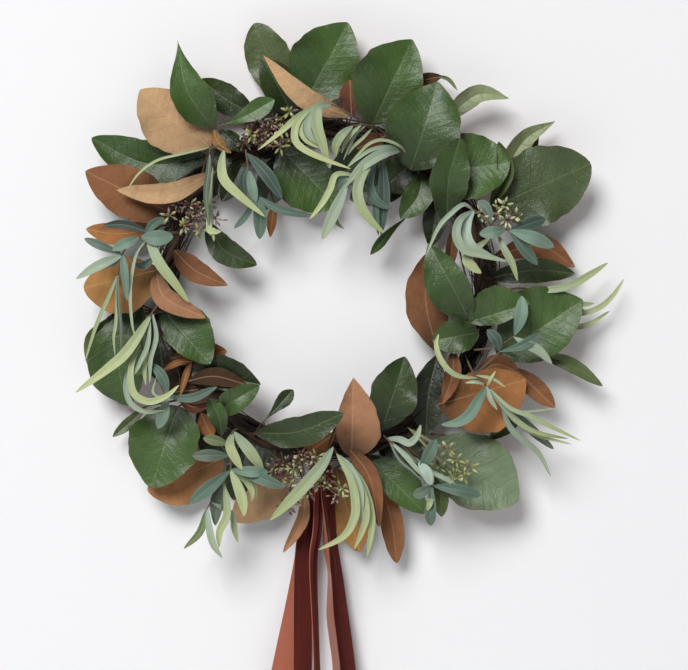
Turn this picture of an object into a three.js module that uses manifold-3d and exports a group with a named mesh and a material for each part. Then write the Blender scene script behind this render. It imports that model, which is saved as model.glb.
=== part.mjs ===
// Magnolia wreath: a vine ring dressed with magnolia, willow and teal leaves, seed sprays and a ribbon.
// Millimetres, +Z up, front towards -Y. The origin is the point under the top of the ring
// where a wall hook carries it.
// Places are written as [x, z, forward] from the middle of the ring, forward being towards the viewer.

import * as THREE from 'three';
import { mergeVertices } from 'three/addons/utils/BufferGeometryUtils.js';
import Module from 'manifold-3d';

const wasm = await Module();
wasm.setup();

// Driving dimensions
const ringRadius = 194;
const vineRadius = 11.8;
const vineRelief = 1.2;
const vineStrands = 4;
const vineTwists = 15;
const ringSteps = 60;
const ringSides = 8;
const seatGap = 0.3;
const hubRadius = 15.2;
const hubHead = 1.8;
const hubStemRadius = 2;
const rootDepth = 8;
const bladeThickness = 0.8;
const foldedThickness = 1.0;
const steepFold = 25;
const leafCup = 0.12;
const endShare = 1e-4;
const petioleRadius = 1.5;
const petioleReach = 0.5;
const shortLead = 5;
const sharpTurn = 0.9;
const seatSteps = [0.05, 0.2, 0.35, 0.5, 0.65, 0.8, 0.93];
const arcRows = 5;
const sprigStemRadius = 1.5;
const stalkRadius = 0.9;
const budLength = 12;
const budCore = 4.2;
const budLeast = 0.85;
const budSpread = 0.3;
const ribbonWidth = 25;
const ribbonThickness = 1.2;
const ribbonPlace = -8;
const bandRadius = 14;
const bandSides = 12;
const knotPlace = [-6.6, -213.3, 16.2];
const knotSize = [15, 11, 12];
const knotSides = 8;
const knotRows = 5;
const tailRows = 5;
const weldDistance = 1e-4;

const middleHeight = -(ringRadius - vineRadius - vineRelief);
const forwardAxis = new THREE.Vector3(0, -1, 0);

const colours = {
  vine: 0x3c281c,
  green: 0x46643c,
  darkGreen: 0x2d4623,
  greyGreen: 0x69785a,
  paleGreen: 0x738c73,
  brown: 0xb4783f,
  tan: 0xb99169,
  redBrown: 0x8c523a,
  willow: 0xb0bc84,
  teal: 0x55826e,
  buds: 0xaaaf6e,
  velvet: 0x501c19,
};

// How each kind of blade widens along its length: half width = sin(pi u^lean)^fullness.
const leafKinds = {
  magnolia: { lean: 1.08, fullness: 0.72, rows: 4, columns: 2 },
  round: { lean: 1.0, fullness: 0.6, rows: 4, columns: 4 },
  broad: { lean: 0.97, fullness: 0.78, rows: 4, columns: 2 },
  ovate: { lean: 0.87, fullness: 0.84, rows: 4, columns: 2 },
  heart: { lean: 0.85, fullness: 0.68, rows: 4, columns: 4 },
  drop: { lean: 0.74, fullness: 0.95, rows: 5, columns: 2 },
  spoon: { lean: 1.4, fullness: 0.66, rows: 4, columns: 2 },
  tail: { lean: 2.4, fullness: 0.8, rows: 5, columns: 2 },
  willow: { lean: 0.9, fullness: 0.66, columns: 1 },
  arc: { lean: 0.95, fullness: 0.55, columns: 1 },
  fine: { lean: 0.9, fullness: 0.66, rows: 4, columns: 1 },
  teal: { lean: 1.2, fullness: 0.66, rows: 3, columns: 1 },
};

const material = (colour, roughness = 0.55) => (
  new THREE.MeshStandardMaterial({ color: colour, roughness, metalness: 0 })
);

// The same sequence of even draws for the same seed.
function seededRandom(seed) {
  let state = seed;
  return () => {
    state = (state * 1664525 + 1013904223) % 4294967296;
    return state / 4294967296;
  };
}

// From [x, z, forward] round the middle of the ring to the part's own frame.
const place = ([x, z, forward]) => new THREE.Vector3(x, -forward, z + middleHeight);

// A point at `angle` degrees round the ring, `around` degrees round the vines from the front
// towards the outside, and `distance` from the vines' centreline.
function onRing(angle, around, distance) {
  const turn = THREE.MathUtils.degToRad(angle);
  const lean = THREE.MathUtils.degToRad(around);
  const reach = ringRadius + distance * Math.sin(lean);
  return [reach * Math.cos(turn), reach * Math.sin(turn), distance * Math.cos(lean)];
}

function solid(geometry) {
  const bare = geometry.clone();
  bare.deleteAttribute('normal');
  if (bare.getAttribute('uv')) bare.deleteAttribute('uv');
  const merged = mergeVertices(bare, weldDistance);
  const vertProperties = new Float32Array(merged.getAttribute('position').array);
  const triVerts = new Uint32Array(merged.getIndex().array);
  const flipped = signedVolume(vertProperties, triVerts) < 0;
  if (flipped) {
    for (let i = 0; i < triVerts.length; i += 3) {
      [triVerts[i], triVerts[i + 1]] = [triVerts[i + 1], triVerts[i]];
    }
  }
  return new wasm.Manifold(new wasm.Mesh({ numProp: 3, vertProperties, triVerts }));
}

function signedVolume(points, triangles) {
  const corner = (i) => new THREE.Vector3(points[3 * i], points[3 * i + 1], points[3 * i + 2]);
  let volume = 0;
  for (let i = 0; i < triangles.length; i += 3) {
    const [a, b, c] = [corner(triangles[i]), corner(triangles[i + 1]), corner(triangles[i + 2])];
    volume += a.dot(b.cross(c)) / 6;
  }
  return volume;
}

const joined = (solids) => solids.reduce((whole, next) => whole.add(next));

// The body that holds most material; a scrap cut loose by its neighbour is dropped.
function mainBody(whole) {
  const bodies = whole.decompose();
  return bodies.reduce((best, next) => (next.volume() > best.volume() ? next : best));
}

function mesh(name, body, colour, roughness) {
  const { vertProperties, triVerts } = body.getMesh();
  const geometry = new THREE.BufferGeometry();
  geometry.setAttribute('position', new THREE.BufferAttribute(new Float32Array(vertProperties), 3));
  geometry.setIndex(new THREE.BufferAttribute(new Uint32Array(triVerts), 1));
  geometry.computeVertexNormals();
  const piece = new THREE.Mesh(geometry, material(colour, roughness));
  piece.name = name;
  return piece;
}

const throughPoints = (points) => new THREE.CatmullRomCurve3(points, false, 'catmullrom', 0.5);

// A blade on its centre curve. Across it, v runs from -1 to 1: the halves fold up from the midrib
// and the edges cup by v squared. `sides` widens the left and the right half, as seen from the front
// with the base at the bottom. Both faces are split alike.
function bladeSurface(points, kind, options, along, across) {
  const { width, roll = 0, fold = 0, cup = 0, sides = [1, 1] } = options;
  const curve = throughPoints(points);
  const centre = curve.getPoint(along);
  const tangent = curve.getTangent(along);
  const normal = forwardAxis.clone().addScaledVector(tangent, -forwardAxis.dot(tangent)).normalize();
  const side = tangent.clone().cross(normal);
  const angle = THREE.MathUtils.degToRad(roll);
  const turnedSide = side.clone().multiplyScalar(Math.cos(angle)).addScaledVector(normal, Math.sin(angle));
  const turnedNormal = normal.multiplyScalar(Math.cos(angle)).addScaledVector(side, -Math.sin(angle));
  const share = sides[across < 0 ? 0 : 1];
  const half = 0.5 * width * share * Math.sin(Math.PI * along ** kind.lean) ** kind.fullness;
  const bend = THREE.MathUtils.degToRad(fold);
  const lift = half * (Math.sin(bend) * Math.abs(across) + cup * across ** 2);
  const point = centre.addScaledVector(turnedSide, across * half * Math.cos(bend));
  point.addScaledVector(turnedNormal, lift);
  return { point, normal: turnedNormal };
}

function blade(points, kindName, options) {
  const kind = leafKinds[kindName];
  const { rows, columns } = { ...kind, ...options };
  const thickness = Math.abs(options.fold ?? 0) > steepFold ? foldedThickness : bladeThickness;
  const grid = [];
  for (let row = 0; row <= rows; row += 1) {
    const ends = row === 0 || row === rows;
    const steps = ends ? [0] : Array.from({ length: columns + 1 }, (_, i) => (2 * i) / columns - 1);
    const along = THREE.MathUtils.clamp(row / rows, endShare, 1 - endShare);
    grid.push(steps.map((across) => bladeSurface(points, kind, options, along, ends ? 0 : across)));
  }
  const vertices = [];
  const faceRows = [thickness / 2, -thickness / 2].map((offset) => (
    grid.map((line) => line.map(({ point, normal }) => {
      vertices.push(...point.clone().addScaledVector(normal, offset).toArray());
      return vertices.length / 3 - 1;
    }))
  ));
  const triangles = [];
  faceRows.forEach((lines, face) => {
    const add = (a, b, c) => triangles.push(...(face === 0 ? [a, b, c] : [a, c, b]));
    for (let row = 0; row < rows; row += 1) {
      const [low, high] = [lines[row], lines[row + 1]];
      for (let i = 0; i < columns; i += 1) {
        if (low.length > 1) add(low[i], low[i + 1], high[Math.min(i, high.length - 1)]);
        if (high.length > 1) add(low[Math.min(i + 1, low.length - 1)], high[i + 1], high[i]);
      }
    }
  });
  const [top, bottom] = faceRows;
  for (let row = 0; row < rows; row += 1) {
    const last = (line) => line[line.length - 1];
    const quads = [
      [top[row][0], top[row + 1][0], bottom[row + 1][0], bottom[row][0]],
      [last(top[row + 1]), last(top[row]), last(bottom[row]), last(bottom[row + 1])],
    ];
    quads.forEach(([a, b, c, d]) => triangles.push(a, b, c, a, c, d));
  }
  const geometry = new THREE.BufferGeometry();
  geometry.setAttribute('position', new THREE.Float32BufferAttribute(vertices, 3));
  geometry.setIndex(triangles);
  return solid(geometry);
}

// A round stem swept along a smooth path.
function stem(points, radius, steps = 2, sides = 3) {
  const section = new THREE.Shape();
  for (let i = 0; i < sides; i += 1) {
    const angle = (2 * Math.PI * i) / sides;
    const corner = [radius * Math.cos(angle), radius * Math.sin(angle)];
    if (i === 0) section.moveTo(...corner);
    else section.lineTo(...corner);
  }
  section.closePath();
  const path = throughPoints(points);
  return solid(new THREE.ExtrudeGeometry(section, { steps, bevelEnabled: false, extrudePath: path }));
}

// Twisted vines as one lobed tube, with `grow` added all round.
function vineTube(grow) {
  const vertices = [];
  const triangles = [];
  for (let step = 0; step < ringSteps; step += 1) {
    const angle = (360 * step) / ringSteps;
    for (let side = 0; side < ringSides; side += 1) {
      const around = (360 * side) / ringSides;
      const phase = THREE.MathUtils.degToRad(vineStrands * around + vineTwists * angle);
      const distance = vineRadius + vineRelief * Math.cos(phase) + grow;
      vertices.push(...place(onRing(angle, around, distance)).toArray());
      const index = (s, k) => (s % ringSteps) * ringSides + (k % ringSides);
      const [a, b] = [index(step, side), index(step + 1, side)];
      const [c, d] = [index(step + 1, side + 1), index(step, side + 1)];
      triangles.push(a, b, c, a, c, d);
    }
  }
  const geometry = new THREE.BufferGeometry();
  geometry.setAttribute('position', new THREE.Float32BufferAttribute(vertices, 3));
  geometry.setIndex(triangles);
  return solid(geometry);
}

const ringBody = vineTube(0);
const ringSeat = vineTube(seatGap);

// One magnolia leaf: where it starts and ends as seen from the front, the width seen there,
// and how far forward its base, middle and tip stand.
function leaf(base, tip, seenWidth, forward, options = {}) {
  const middle = options.via ?? [(base[0] + tip[0]) / 2, (base[1] + tip[1]) / 2];
  const points = [base, middle, tip].map(([x, z], i) => place([x, z, forward[i]]));
  const tilt = Math.cos(THREE.MathUtils.degToRad(options.roll ?? 0));
  const bend = Math.cos(THREE.MathUtils.degToRad(options.fold ?? 0));
  const kind = options.kind ?? 'magnolia';
  return { points, kind, options: { cup: leafCup, ...options, width: seenWidth / tilt / bend } };
}

// A leafy stem: its leaves share a hub just off the vines, and its root runs into them.
function leafyStem(name, colour, [angle, around], leaves) {
  const hub = place(onRing(angle, around, hubRadius));
  const root = [rootDepth, hubRadius + hubHead].map((distance) => place(onRing(angle, around, distance)));
  const parts = [stem(root, hubStemRadius, 1)];
  leaves.forEach(({ points, kind, options }) => {
    const firstRow = throughPoints(points).getPoint(1 / leafKinds[kind].rows);
    const inside = points[0].clone().lerp(firstRow, petioleReach);
    parts.push(blade(points, kind, options), stem([hub, inside], petioleRadius, 1));
  });
  return mesh(name, mainBody(joined(parts).subtract(ringSeat)), colours[colour]);
}

// A sprig: stems from the vines, with narrow blades that start on the nearest stem.
function sprig(name, colour, stems, blades) {
  const paths = stems.map((points) => throughPoints(points.map(place)).getSpacedPoints(points.length));
  const parts = stems.map((points) => stem(points.map(place), sprigStemRadius, points.length));
  const seats = paths.flatMap((path) => path.slice(1).flatMap((end, i) => (
    seatSteps.map((part) => path[i].clone().lerp(end, part)))));
  blades.forEach(([points, seenWidth, kind = 'willow', options = {}]) => {
    const placed = points.map(place);
    const away = seats.map((point) => point.distanceTo(placed[0]));
    const [seat] = seats.splice(away.indexOf(Math.min(...away)), 1);
    const [lead, onward] = [placed[0].clone().sub(seat), placed[1].clone().sub(placed[0])];
    const smooth = lead.length() > shortLead && lead.angleTo(onward) < sharpTurn;
    const start = [seat, ...placed.slice(smooth ? 0 : 1)];
    const tilt = Math.cos(THREE.MathUtils.degToRad(options.roll ?? 0));
    const rows = leafKinds[kind].rows ?? Math.min(start.length + 1, arcRows);
    parts.push(blade(start, kind, { rows, ...options, width: seenWidth / tilt }));
  });
  return mesh(name, mainBody(joined(parts).subtract(ringSeat)), colours[colour]);
}

// A cluster of pointed buds: a small octahedron whose faces each rise to a point.
function budCluster(centre, random) {
  const core = new THREE.OctahedronGeometry(budCore, 0);
  const turn = new THREE.Euler(2 * random(), 2 * random(), 2 * random());
  core.applyMatrix4(new THREE.Matrix4().makeRotationFromEuler(turn));
  const corners = core.getAttribute('position');
  const vertices = [];
  for (let i = 0; i < corners.count; i += 3) {
    const [a, b, c] = [0, 1, 2].map((k) => new THREE.Vector3().fromBufferAttribute(corners, i + k));
    const tip = a.clone().add(b).add(c).setLength(budLength * (budLeast + budSpread * random()));
    [a, b, tip, b, c, tip, c, a, tip].forEach((point) => vertices.push(...point.toArray()));
  }
  const geometry = new THREE.BufferGeometry();
  geometry.setAttribute('position', new THREE.Float32BufferAttribute(vertices, 3));
  return solid(geometry.translate(...centre.toArray()));
}

// A seed spray: its root runs into the vines, and a stalk runs from its hub to each cluster.
function seedSpray(name, root, hub, seed, clusters) {
  const random = seededRandom(seed);
  const start = place(hub);
  const head = start.clone().addScaledVector(forwardAxis, hubHead);
  const parts = [stem([place(root), head], petioleRadius, 1)];
  clusters.forEach((cluster) => {
    const centre = place(cluster);
    parts.push(stem([start, centre], stalkRadius, 1), budCluster(centre, random));
  });
  return mesh(name, mainBody(joined(parts).subtract(ringSeat)), colours.buds);
}

// A strip of ribbon: stations of [x, z, forward, turn, width], the turn in degrees about its length.
// Its front and back are split along the same diagonals, so they keep their distance where it twists.
function ribbonStrip(stations, rows) {
  const path = throughPoints(stations.map(place));
  const turns = throughPoints(stations.map(([, , , turn, width]) => new THREE.Vector3(turn, width, 0)));
  const vertices = [];
  const triangles = [];
  for (let row = 0; row <= rows; row += 1) {
    const centre = path.getPoint(row / rows);
    const tangent = path.getTangent(row / rows);
    const normal = forwardAxis.clone().addScaledVector(tangent, -forwardAxis.dot(tangent)).normalize();
    const { x: degrees, y: width } = turns.getPoint(row / rows);
    const turn = THREE.MathUtils.degToRad(degrees);
    const side = tangent.clone().cross(normal).applyAxisAngle(tangent, turn);
    normal.applyAxisAngle(tangent, turn);
    [[-1, 1], [1, 1], [1, -1], [-1, -1]].forEach(([across, face]) => {
      const corner = centre.clone().addScaledVector(side, (across * width) / 2);
      vertices.push(...corner.addScaledVector(normal, (face * ribbonThickness) / 2).toArray());
    });
    if (row === 0) continue;
    for (let k = 0; k < 4; k += 1) {
      const [a, b] = [4 * (row - 1) + k, 4 * (row - 1) + ((k + 1) % 4)];
      if (k === 2) triangles.push(a, b, a + 4, b, b + 4, a + 4);
      else triangles.push(a, b, b + 4, a, b + 4, a + 4);
    }
  }
  const end = 4 * rows;
  triangles.push(0, 3, 2, 0, 2, 1, end, end + 1, end + 2, end, end + 2, end + 3);
  const geometry = new THREE.BufferGeometry();
  geometry.setAttribute('position', new THREE.Float32BufferAttribute(vertices, 3));
  geometry.setIndex(triangles);
  return solid(geometry);
}

// The ribbon's band passes round the vines, its knot sits at their lower front.
function velvetRibbon(tails) {
  const [inner, outer] = [bandRadius, bandRadius + 2 * ribbonThickness];
  const half = ribbonWidth / 2;
  const outline = [[inner, -half], [outer, -half], [outer, half], [inner, half], [inner, -half]];
  const band = new THREE.LatheGeometry(outline.map(([r, h]) => new THREE.Vector2(r, h)), bandSides);
  band.rotateZ(Math.PI / 2).translate(...place([ribbonPlace, -ringRadius, 0]).toArray());
  const knot = new THREE.SphereGeometry(1, knotSides, knotRows).scale(...knotSize);
  knot.translate(...place(knotPlace).toArray());
  const whole = joined([band, knot].map(solid).concat(tails)).subtract(ringSeat);
  return mesh('velvet_ribbon', mainBody(whole), colours.velvet, 0.9);
}

// Seen from the front, clockwise from the top left.
const leafyStems = [
  leafyStem('magnolia_top_left_green', 'green', [112, 20], [
    leaf([-38, 222], [-86, 322], 56, [4, -2, 8], { via: [-67, 278], roll: 10, kind: 'round' }),
    leaf([-28, 220], [28, 322], 84, [12, 14, 16], { roll: -8, kind: 'broad', sides: [1.06, 0.94] }),
    leaf([-37, 206], [-76, 278], 48, [16, 28, 30], { fold: 20, kind: 'broad' }),
  ]),
  leafyStem('magnolia_top_brown', 'tan', [82, 20], [
    leaf([27, 206], [-73, 277], 28, [30, 48, 46], { via: [-25, 228], roll: 12, kind: 'broad' }),
    leaf([32, 207], [30, 253], 27, [16, 18, 16], { fold: 15 }),
  ]),
  leafyStem('magnolia_top_green', 'green', [66, 15], [
    leaf([56, 196], [106, 301], 86, [22, 34, 24], { roll: -8, kind: 'ovate', sides: [1.1, 0.85] }),
    leaf([101, 141], [133, 246], 92, [36, 52, 42], { roll: 6, kind: 'heart' }),
  ]),
  leafyStem('magnolia_top_curl', 'redBrown', [64, 60], [
    leaf([106, 250], [160, 239], 17, [8, 12, 16], { via: [134, 259], fold: 40, kind: 'ovate' }),
  ]),
  leafyStem('magnolia_top_inner_brown', 'redBrown', [76, -35], [
    leaf([74, 185], [38, 168], 22, [16, 20, 22], { fold: 15 }),
  ]),
  leafyStem('magnolia_upper_right_back', 'greyGreen', [50, 60], [
    leaf([144, 208], [222, 229], 28, [8, 18, 24], { via: [184, 230], fold: 20, kind: 'ovate' }),
    leaf([212, 128], [279, 203], 34, [4, 8, 12], { via: [240, 173], fold: 30, kind: 'ovate' }),
  ]),
  leafyStem('magnolia_upper_right_front', 'green', [40, 10], [
    leaf([127, 139], [222, 150], 80, [24, 36, 38], { roll: 6, kind: 'round', columns: 2 }),
    leaf([146, 80], [160, 177], 45, [34, 62, 66], { via: [147, 130], roll: -16, kind: 'round', columns: 2 }),
    leaf([199, 98], [208, 176], 22, [28, 30, 34], { via: [217, 138], fold: 40 }),
  ]),
  leafyStem('magnolia_right_round', 'greyGreen', [28, 55], [
    leaf([200, 97], [320, 150], 88, [14, 24, 30], { roll: 8, kind: 'round', sides: [1.09, 0.91] }),
  ]),
  leafyStem('magnolia_right_inner_brown', 'redBrown', [-10, -40], [
    leaf([156, 76], [150, 22], 15, [10, 12, 8], { fold: 50 }),
    leaf([137, -78], [125, 44], 52, [8, 14, 8], { via: [122, -18], roll: -12 }),
  ]),
  leafyStem('magnolia_right_inner_green', 'green', [-6, 5], [
    leaf([175, -41], [124, 54], 50, [30, 44, 36], { roll: 8, kind: 'ovate', sides: [1.2, 0.82] }),
    leaf([185, -53], [129, -63], 41, [28, 36, 34], { fold: 15, kind: 'round' }),
    leaf([172, -41], [244, -18], 46, [32, 44, 46], { fold: 12, kind: 'broad', sides: [1.42, 0.58] }),
  ]),
  leafyStem('magnolia_right_green', 'green', [-15, 45], [
    leaf([208, -82], [310, -14], 86, [14, 30, 30], { roll: 8, kind: 'broad', sides: [1.15, 0.85] }),
    leaf([256, -79], [335, -118], 18, [12, 14, 22], { via: [296, -92], fold: 30 }),
  ]),
  leafyStem('magnolia_right_dark', 'darkGreen', [2, 60], [
    leaf([194, 12], [302, 18], 28, [8, 14, 16], { via: [252, 22], fold: 15 }),
  ]),
  leafyStem('magnolia_right_brown', 'tan', [8, 85], [
    leaf([203, 38], [304, 26], 29, [2, 0, 4], { via: [260, 52], fold: 15, kind: 'broad' }),
  ]),
  leafyStem('magnolia_lower_right_brown', 'brown', [-38, 25], [
    leaf([136, -140], [241, -110], 76, [22, 32, 34], { fold: 9, kind: 'round', sides: [0.7, 1.3] }),
    leaf([228, -96], [277, -144], 25, [18, 22, 26], { fold: 30 }),
    leaf([154, -74], [142, -138], 20, [24, 32, 30], { via: [153, -103], fold: 35 }),
  ]),
  leafyStem('magnolia_lower_right_inner', 'darkGreen', [-52, -35], [
    leaf([133, -80], [121, -180], 40, [14, 15, 12], { via: [122, -126], fold: 10 }),
    leaf([68, -171], [96, -82], 56, [30, 44, 38], { roll: -8, kind: 'broad' }),
  ]),
  leafyStem('magnolia_bottom_pointed', 'redBrown', [-82, -5], [
    leaf([32, -203], [34, -107], 52, [24, 44, 40], { fold: 20, kind: 'drop', sides: [0.75, 1.28] }),
    leaf([13, -174], [-30, -206], 24, [26, 27, 23], { fold: 10 }),
    leaf([34, -189], [64, -290], 17, [26, 38, 36], { via: [49, -238], fold: 25 }),
  ]),
  leafyStem('magnolia_bottom_right_green', 'green', [-64, 30], [
    leaf([50, -202], [121, -272], 43, [12, 18, 22], { roll: 8, sides: [1.18, 0.82] }),
    leaf([136, -223], [140, -275], 20, [32, 37, 36], { fold: 25 }),
  ]),
  leafyStem('magnolia_lower_right_pale', 'paleGreen', [-58, 55], [
    leaf([117, -190], [235, -258], 90, [12, 20, 26], { roll: 8, kind: 'round', sides: [1.1, 0.9] }),
    leaf([198, -183], [239, -150], 20, [12, 14, 16], { fold: 15 }),
  ]),
  leafyStem('magnolia_bottom_right_brown', 'brown', [-76, 70], [
    leaf([58, -212], [87, -333], 29, [2, 4, 12], { via: [84, -275], fold: 25, kind: 'spoon' }),
    leaf([12, -217], [42, -321], 47, [-3, -1, 3], { roll: 10 }),
  ]),
  leafyStem('magnolia_bottom_midrib', 'darkGreen', [-116, 10], [
    leaf([-84, -174], [23, -148], 38, [36, 62, 72], { via: [-32, -171], roll: -8 }),
    leaf([-76, -163], [-38, -122], 18, [30, 34, 34], { fold: 15, kind: 'tail' }),
  ]),
  leafyStem('magnolia_bottom_curled_tip', 'brown', [-100, 60], [
    leaf([-26, -236], [-50, -317], 18, [32, 36, 38], { via: [-31, -275], fold: 30 }),
  ]),
  leafyStem('magnolia_bottom_left_tan', 'tan', [-107, 75], [
    leaf([-44, -223], [-115, -282], 50, [2, 2, 6], { roll: -10, kind: 'broad', sides: [1.18, 0.82] }),
  ]),
  leafyStem('magnolia_lower_left_rust', 'brown', [-122, 70], [
    leaf([-124, -206], [-215, -245], 58, [4, 6, 10], { roll: 8, kind: 'round', sides: [1.25, 0.75] }),
  ]),
  leafyStem('magnolia_lower_left_green', 'green', [-140, 40], [
    leaf([-178, -142], [-209, -240], 85, [18, 34, 30], { roll: -8, kind: 'heart' }),
    leaf([-216, -142], [-258, -180], 14, [6, 6, 8], { via: [-238, -163], fold: 20 }),
  ]),
  leafyStem('magnolia_left_green', 'green', [-172, 40], [
    leaf([-194, -28], [-137, -91], 56, [26, 44, 44], { roll: 8, kind: 'heart', sides: [1.22, 0.74] }),
    leaf([-224, -17], [-240, -143], 72, [10, 16, 12], { via: [-249, -84], roll: -10 }),
    leaf([-262, -34], [-290, -93], 13, [-4, -6, -4], { via: [-286, -60] }),
  ]),
  leafyStem('magnolia_lower_left_inner_brown', 'brown', [-146, -20], [
    leaf([-150, -150], [-136, -181], 20, [20, 22, 22], { fold: 15 }),
    leaf([-186, -84], [-119, -76], 32, [12, 18, 16], { fold: 15 }),
    leaf([-177, -132], [-138, -139], 15, [23, 22, 20], { via: [-159, -143], fold: 20 }),
  ]),
  leafyStem('magnolia_lower_left_dark', 'darkGreen', [-132, -15], [
    leaf([-125, -160], [-79, -118], 30, [28, 50, 48], { via: [-111, -138], fold: 20 }),
    leaf([-164, -99], [-77, -116], 42, [26, 34, 32], { fold: 15, kind: 'ovate', sides: [1.25, 0.75] }),
    leaf([-124, -180], [-138, -132], 23, [28, 40, 42], { via: [-127, -155], fold: 15, kind: 'spoon' }),
  ]),
  leafyStem('magnolia_left_brown', 'brown', [172, 25], [
    leaf([-201, 22], [-291, 0], 68, [20, 28, 28], { roll: -8, kind: 'round', sides: [1.28, 0.72] }),
    leaf([-182, 46], [-117, 3], 28, [24, 30, 28], { via: [-156, 21], fold: 15, kind: 'ovate' }),
    leaf([-203, 20], [-142, -36], 22, [30, 54, 54], { via: [-190, -12], fold: 15 }),
  ]),
  leafyStem('magnolia_left_rust', 'brown', [158, 50], [
    leaf([-180, 88], [-289, 141], 62, [16, 26, 22], { fold: 15, kind: 'broad' }),
    leaf([-198, 76], [-290, 72], 28, [10, 12, 14], { via: [-248, 66], fold: 15 }),
  ]),
  leafyStem('magnolia_left_inner_dark', 'darkGreen', [150, -50], [
    leaf([-142, 80], [-82, 28], 32, [18, 26, 24], { via: [-122, 46], fold: 20 }),
  ]),
  leafyStem('magnolia_upper_left_green', 'green', [128, 25], [
    leaf([-142, 161], [-283, 182], 54, [12, 12, 10], { via: [-213, 151], fold: 15 }),
    leaf([-134, 190], [-177, 297], 38, [26, 36, 30], { via: [-167, 238], fold: 15, kind: 'ovate' }),
    leaf([-134, 193], [-60, 225], 24, [30, 44, 46], { via: [-98, 204], fold: 15, kind: 'tail' }),
    leaf([-127, 191], [-98, 165], 20, [22, 29, 27], { fold: 15 }),
    leaf([-133, 192], [-113, 163], 13, [28, 32, 26], { via: [-129, 176], fold: 20 }),
  ]),
  leafyStem('magnolia_upper_left_tan', 'tan', [138, 30], [
    leaf([-138, 169], [-222, 238], 74, [20, 22, 18], { roll: -10, kind: 'round', sides: [1.15, 0.85] }),
    leaf([-130, 141], [-249, 117], 25, [28, 44, 42], { via: [-187, 113], fold: 15 }),
  ]),
  leafyStem('magnolia_upper_left_dark', 'darkGreen', [116, 70], [
    leaf([-84, 210], [-151, 254], 36, [4, 8, 6], { via: [-119, 229], fold: 15 }),
  ]),
  leafyStem('magnolia_top_inner_green', 'green', [103, -55], [
    leaf([-54, 169], [14, 99], 70, [6, 14, 16], { roll: 8, kind: 'round', sides: [0.78, 1.22] }),
  ]),
  leafyStem('magnolia_upper_left_inner_dark', 'darkGreen', [124, -50], [
    leaf([-97, 160], [-125, 105], 30, [8, 14, 16], { via: [-108, 133], fold: 20 }),
  ]),
  leafyStem('magnolia_top_inner_tip', 'brown', [117, -70], [
    leaf([-64, 106], [-67, 62], 16, [6, 8, 8], { fold: 35 }),
  ]),
  leafyStem('magnolia_upper_right_inner_green', 'darkGreen', [52, -50], [
    leaf([112, 158], [66, 118], 44, [8, 13, 14], { fold: 8 }),
    leaf([118, 142], [91, 86], 30, [12, 20, 22], { via: [112, 112], fold: 20 }),
  ]),
  leafyStem('magnolia_upper_right_inner_curl', 'redBrown', [38, -75], [
    leaf([110, 96], [55, 41], 12, [6, 12, 18], { via: [80, 70], fold: 40, kind: 'tail' }),
  ]),
];

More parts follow.
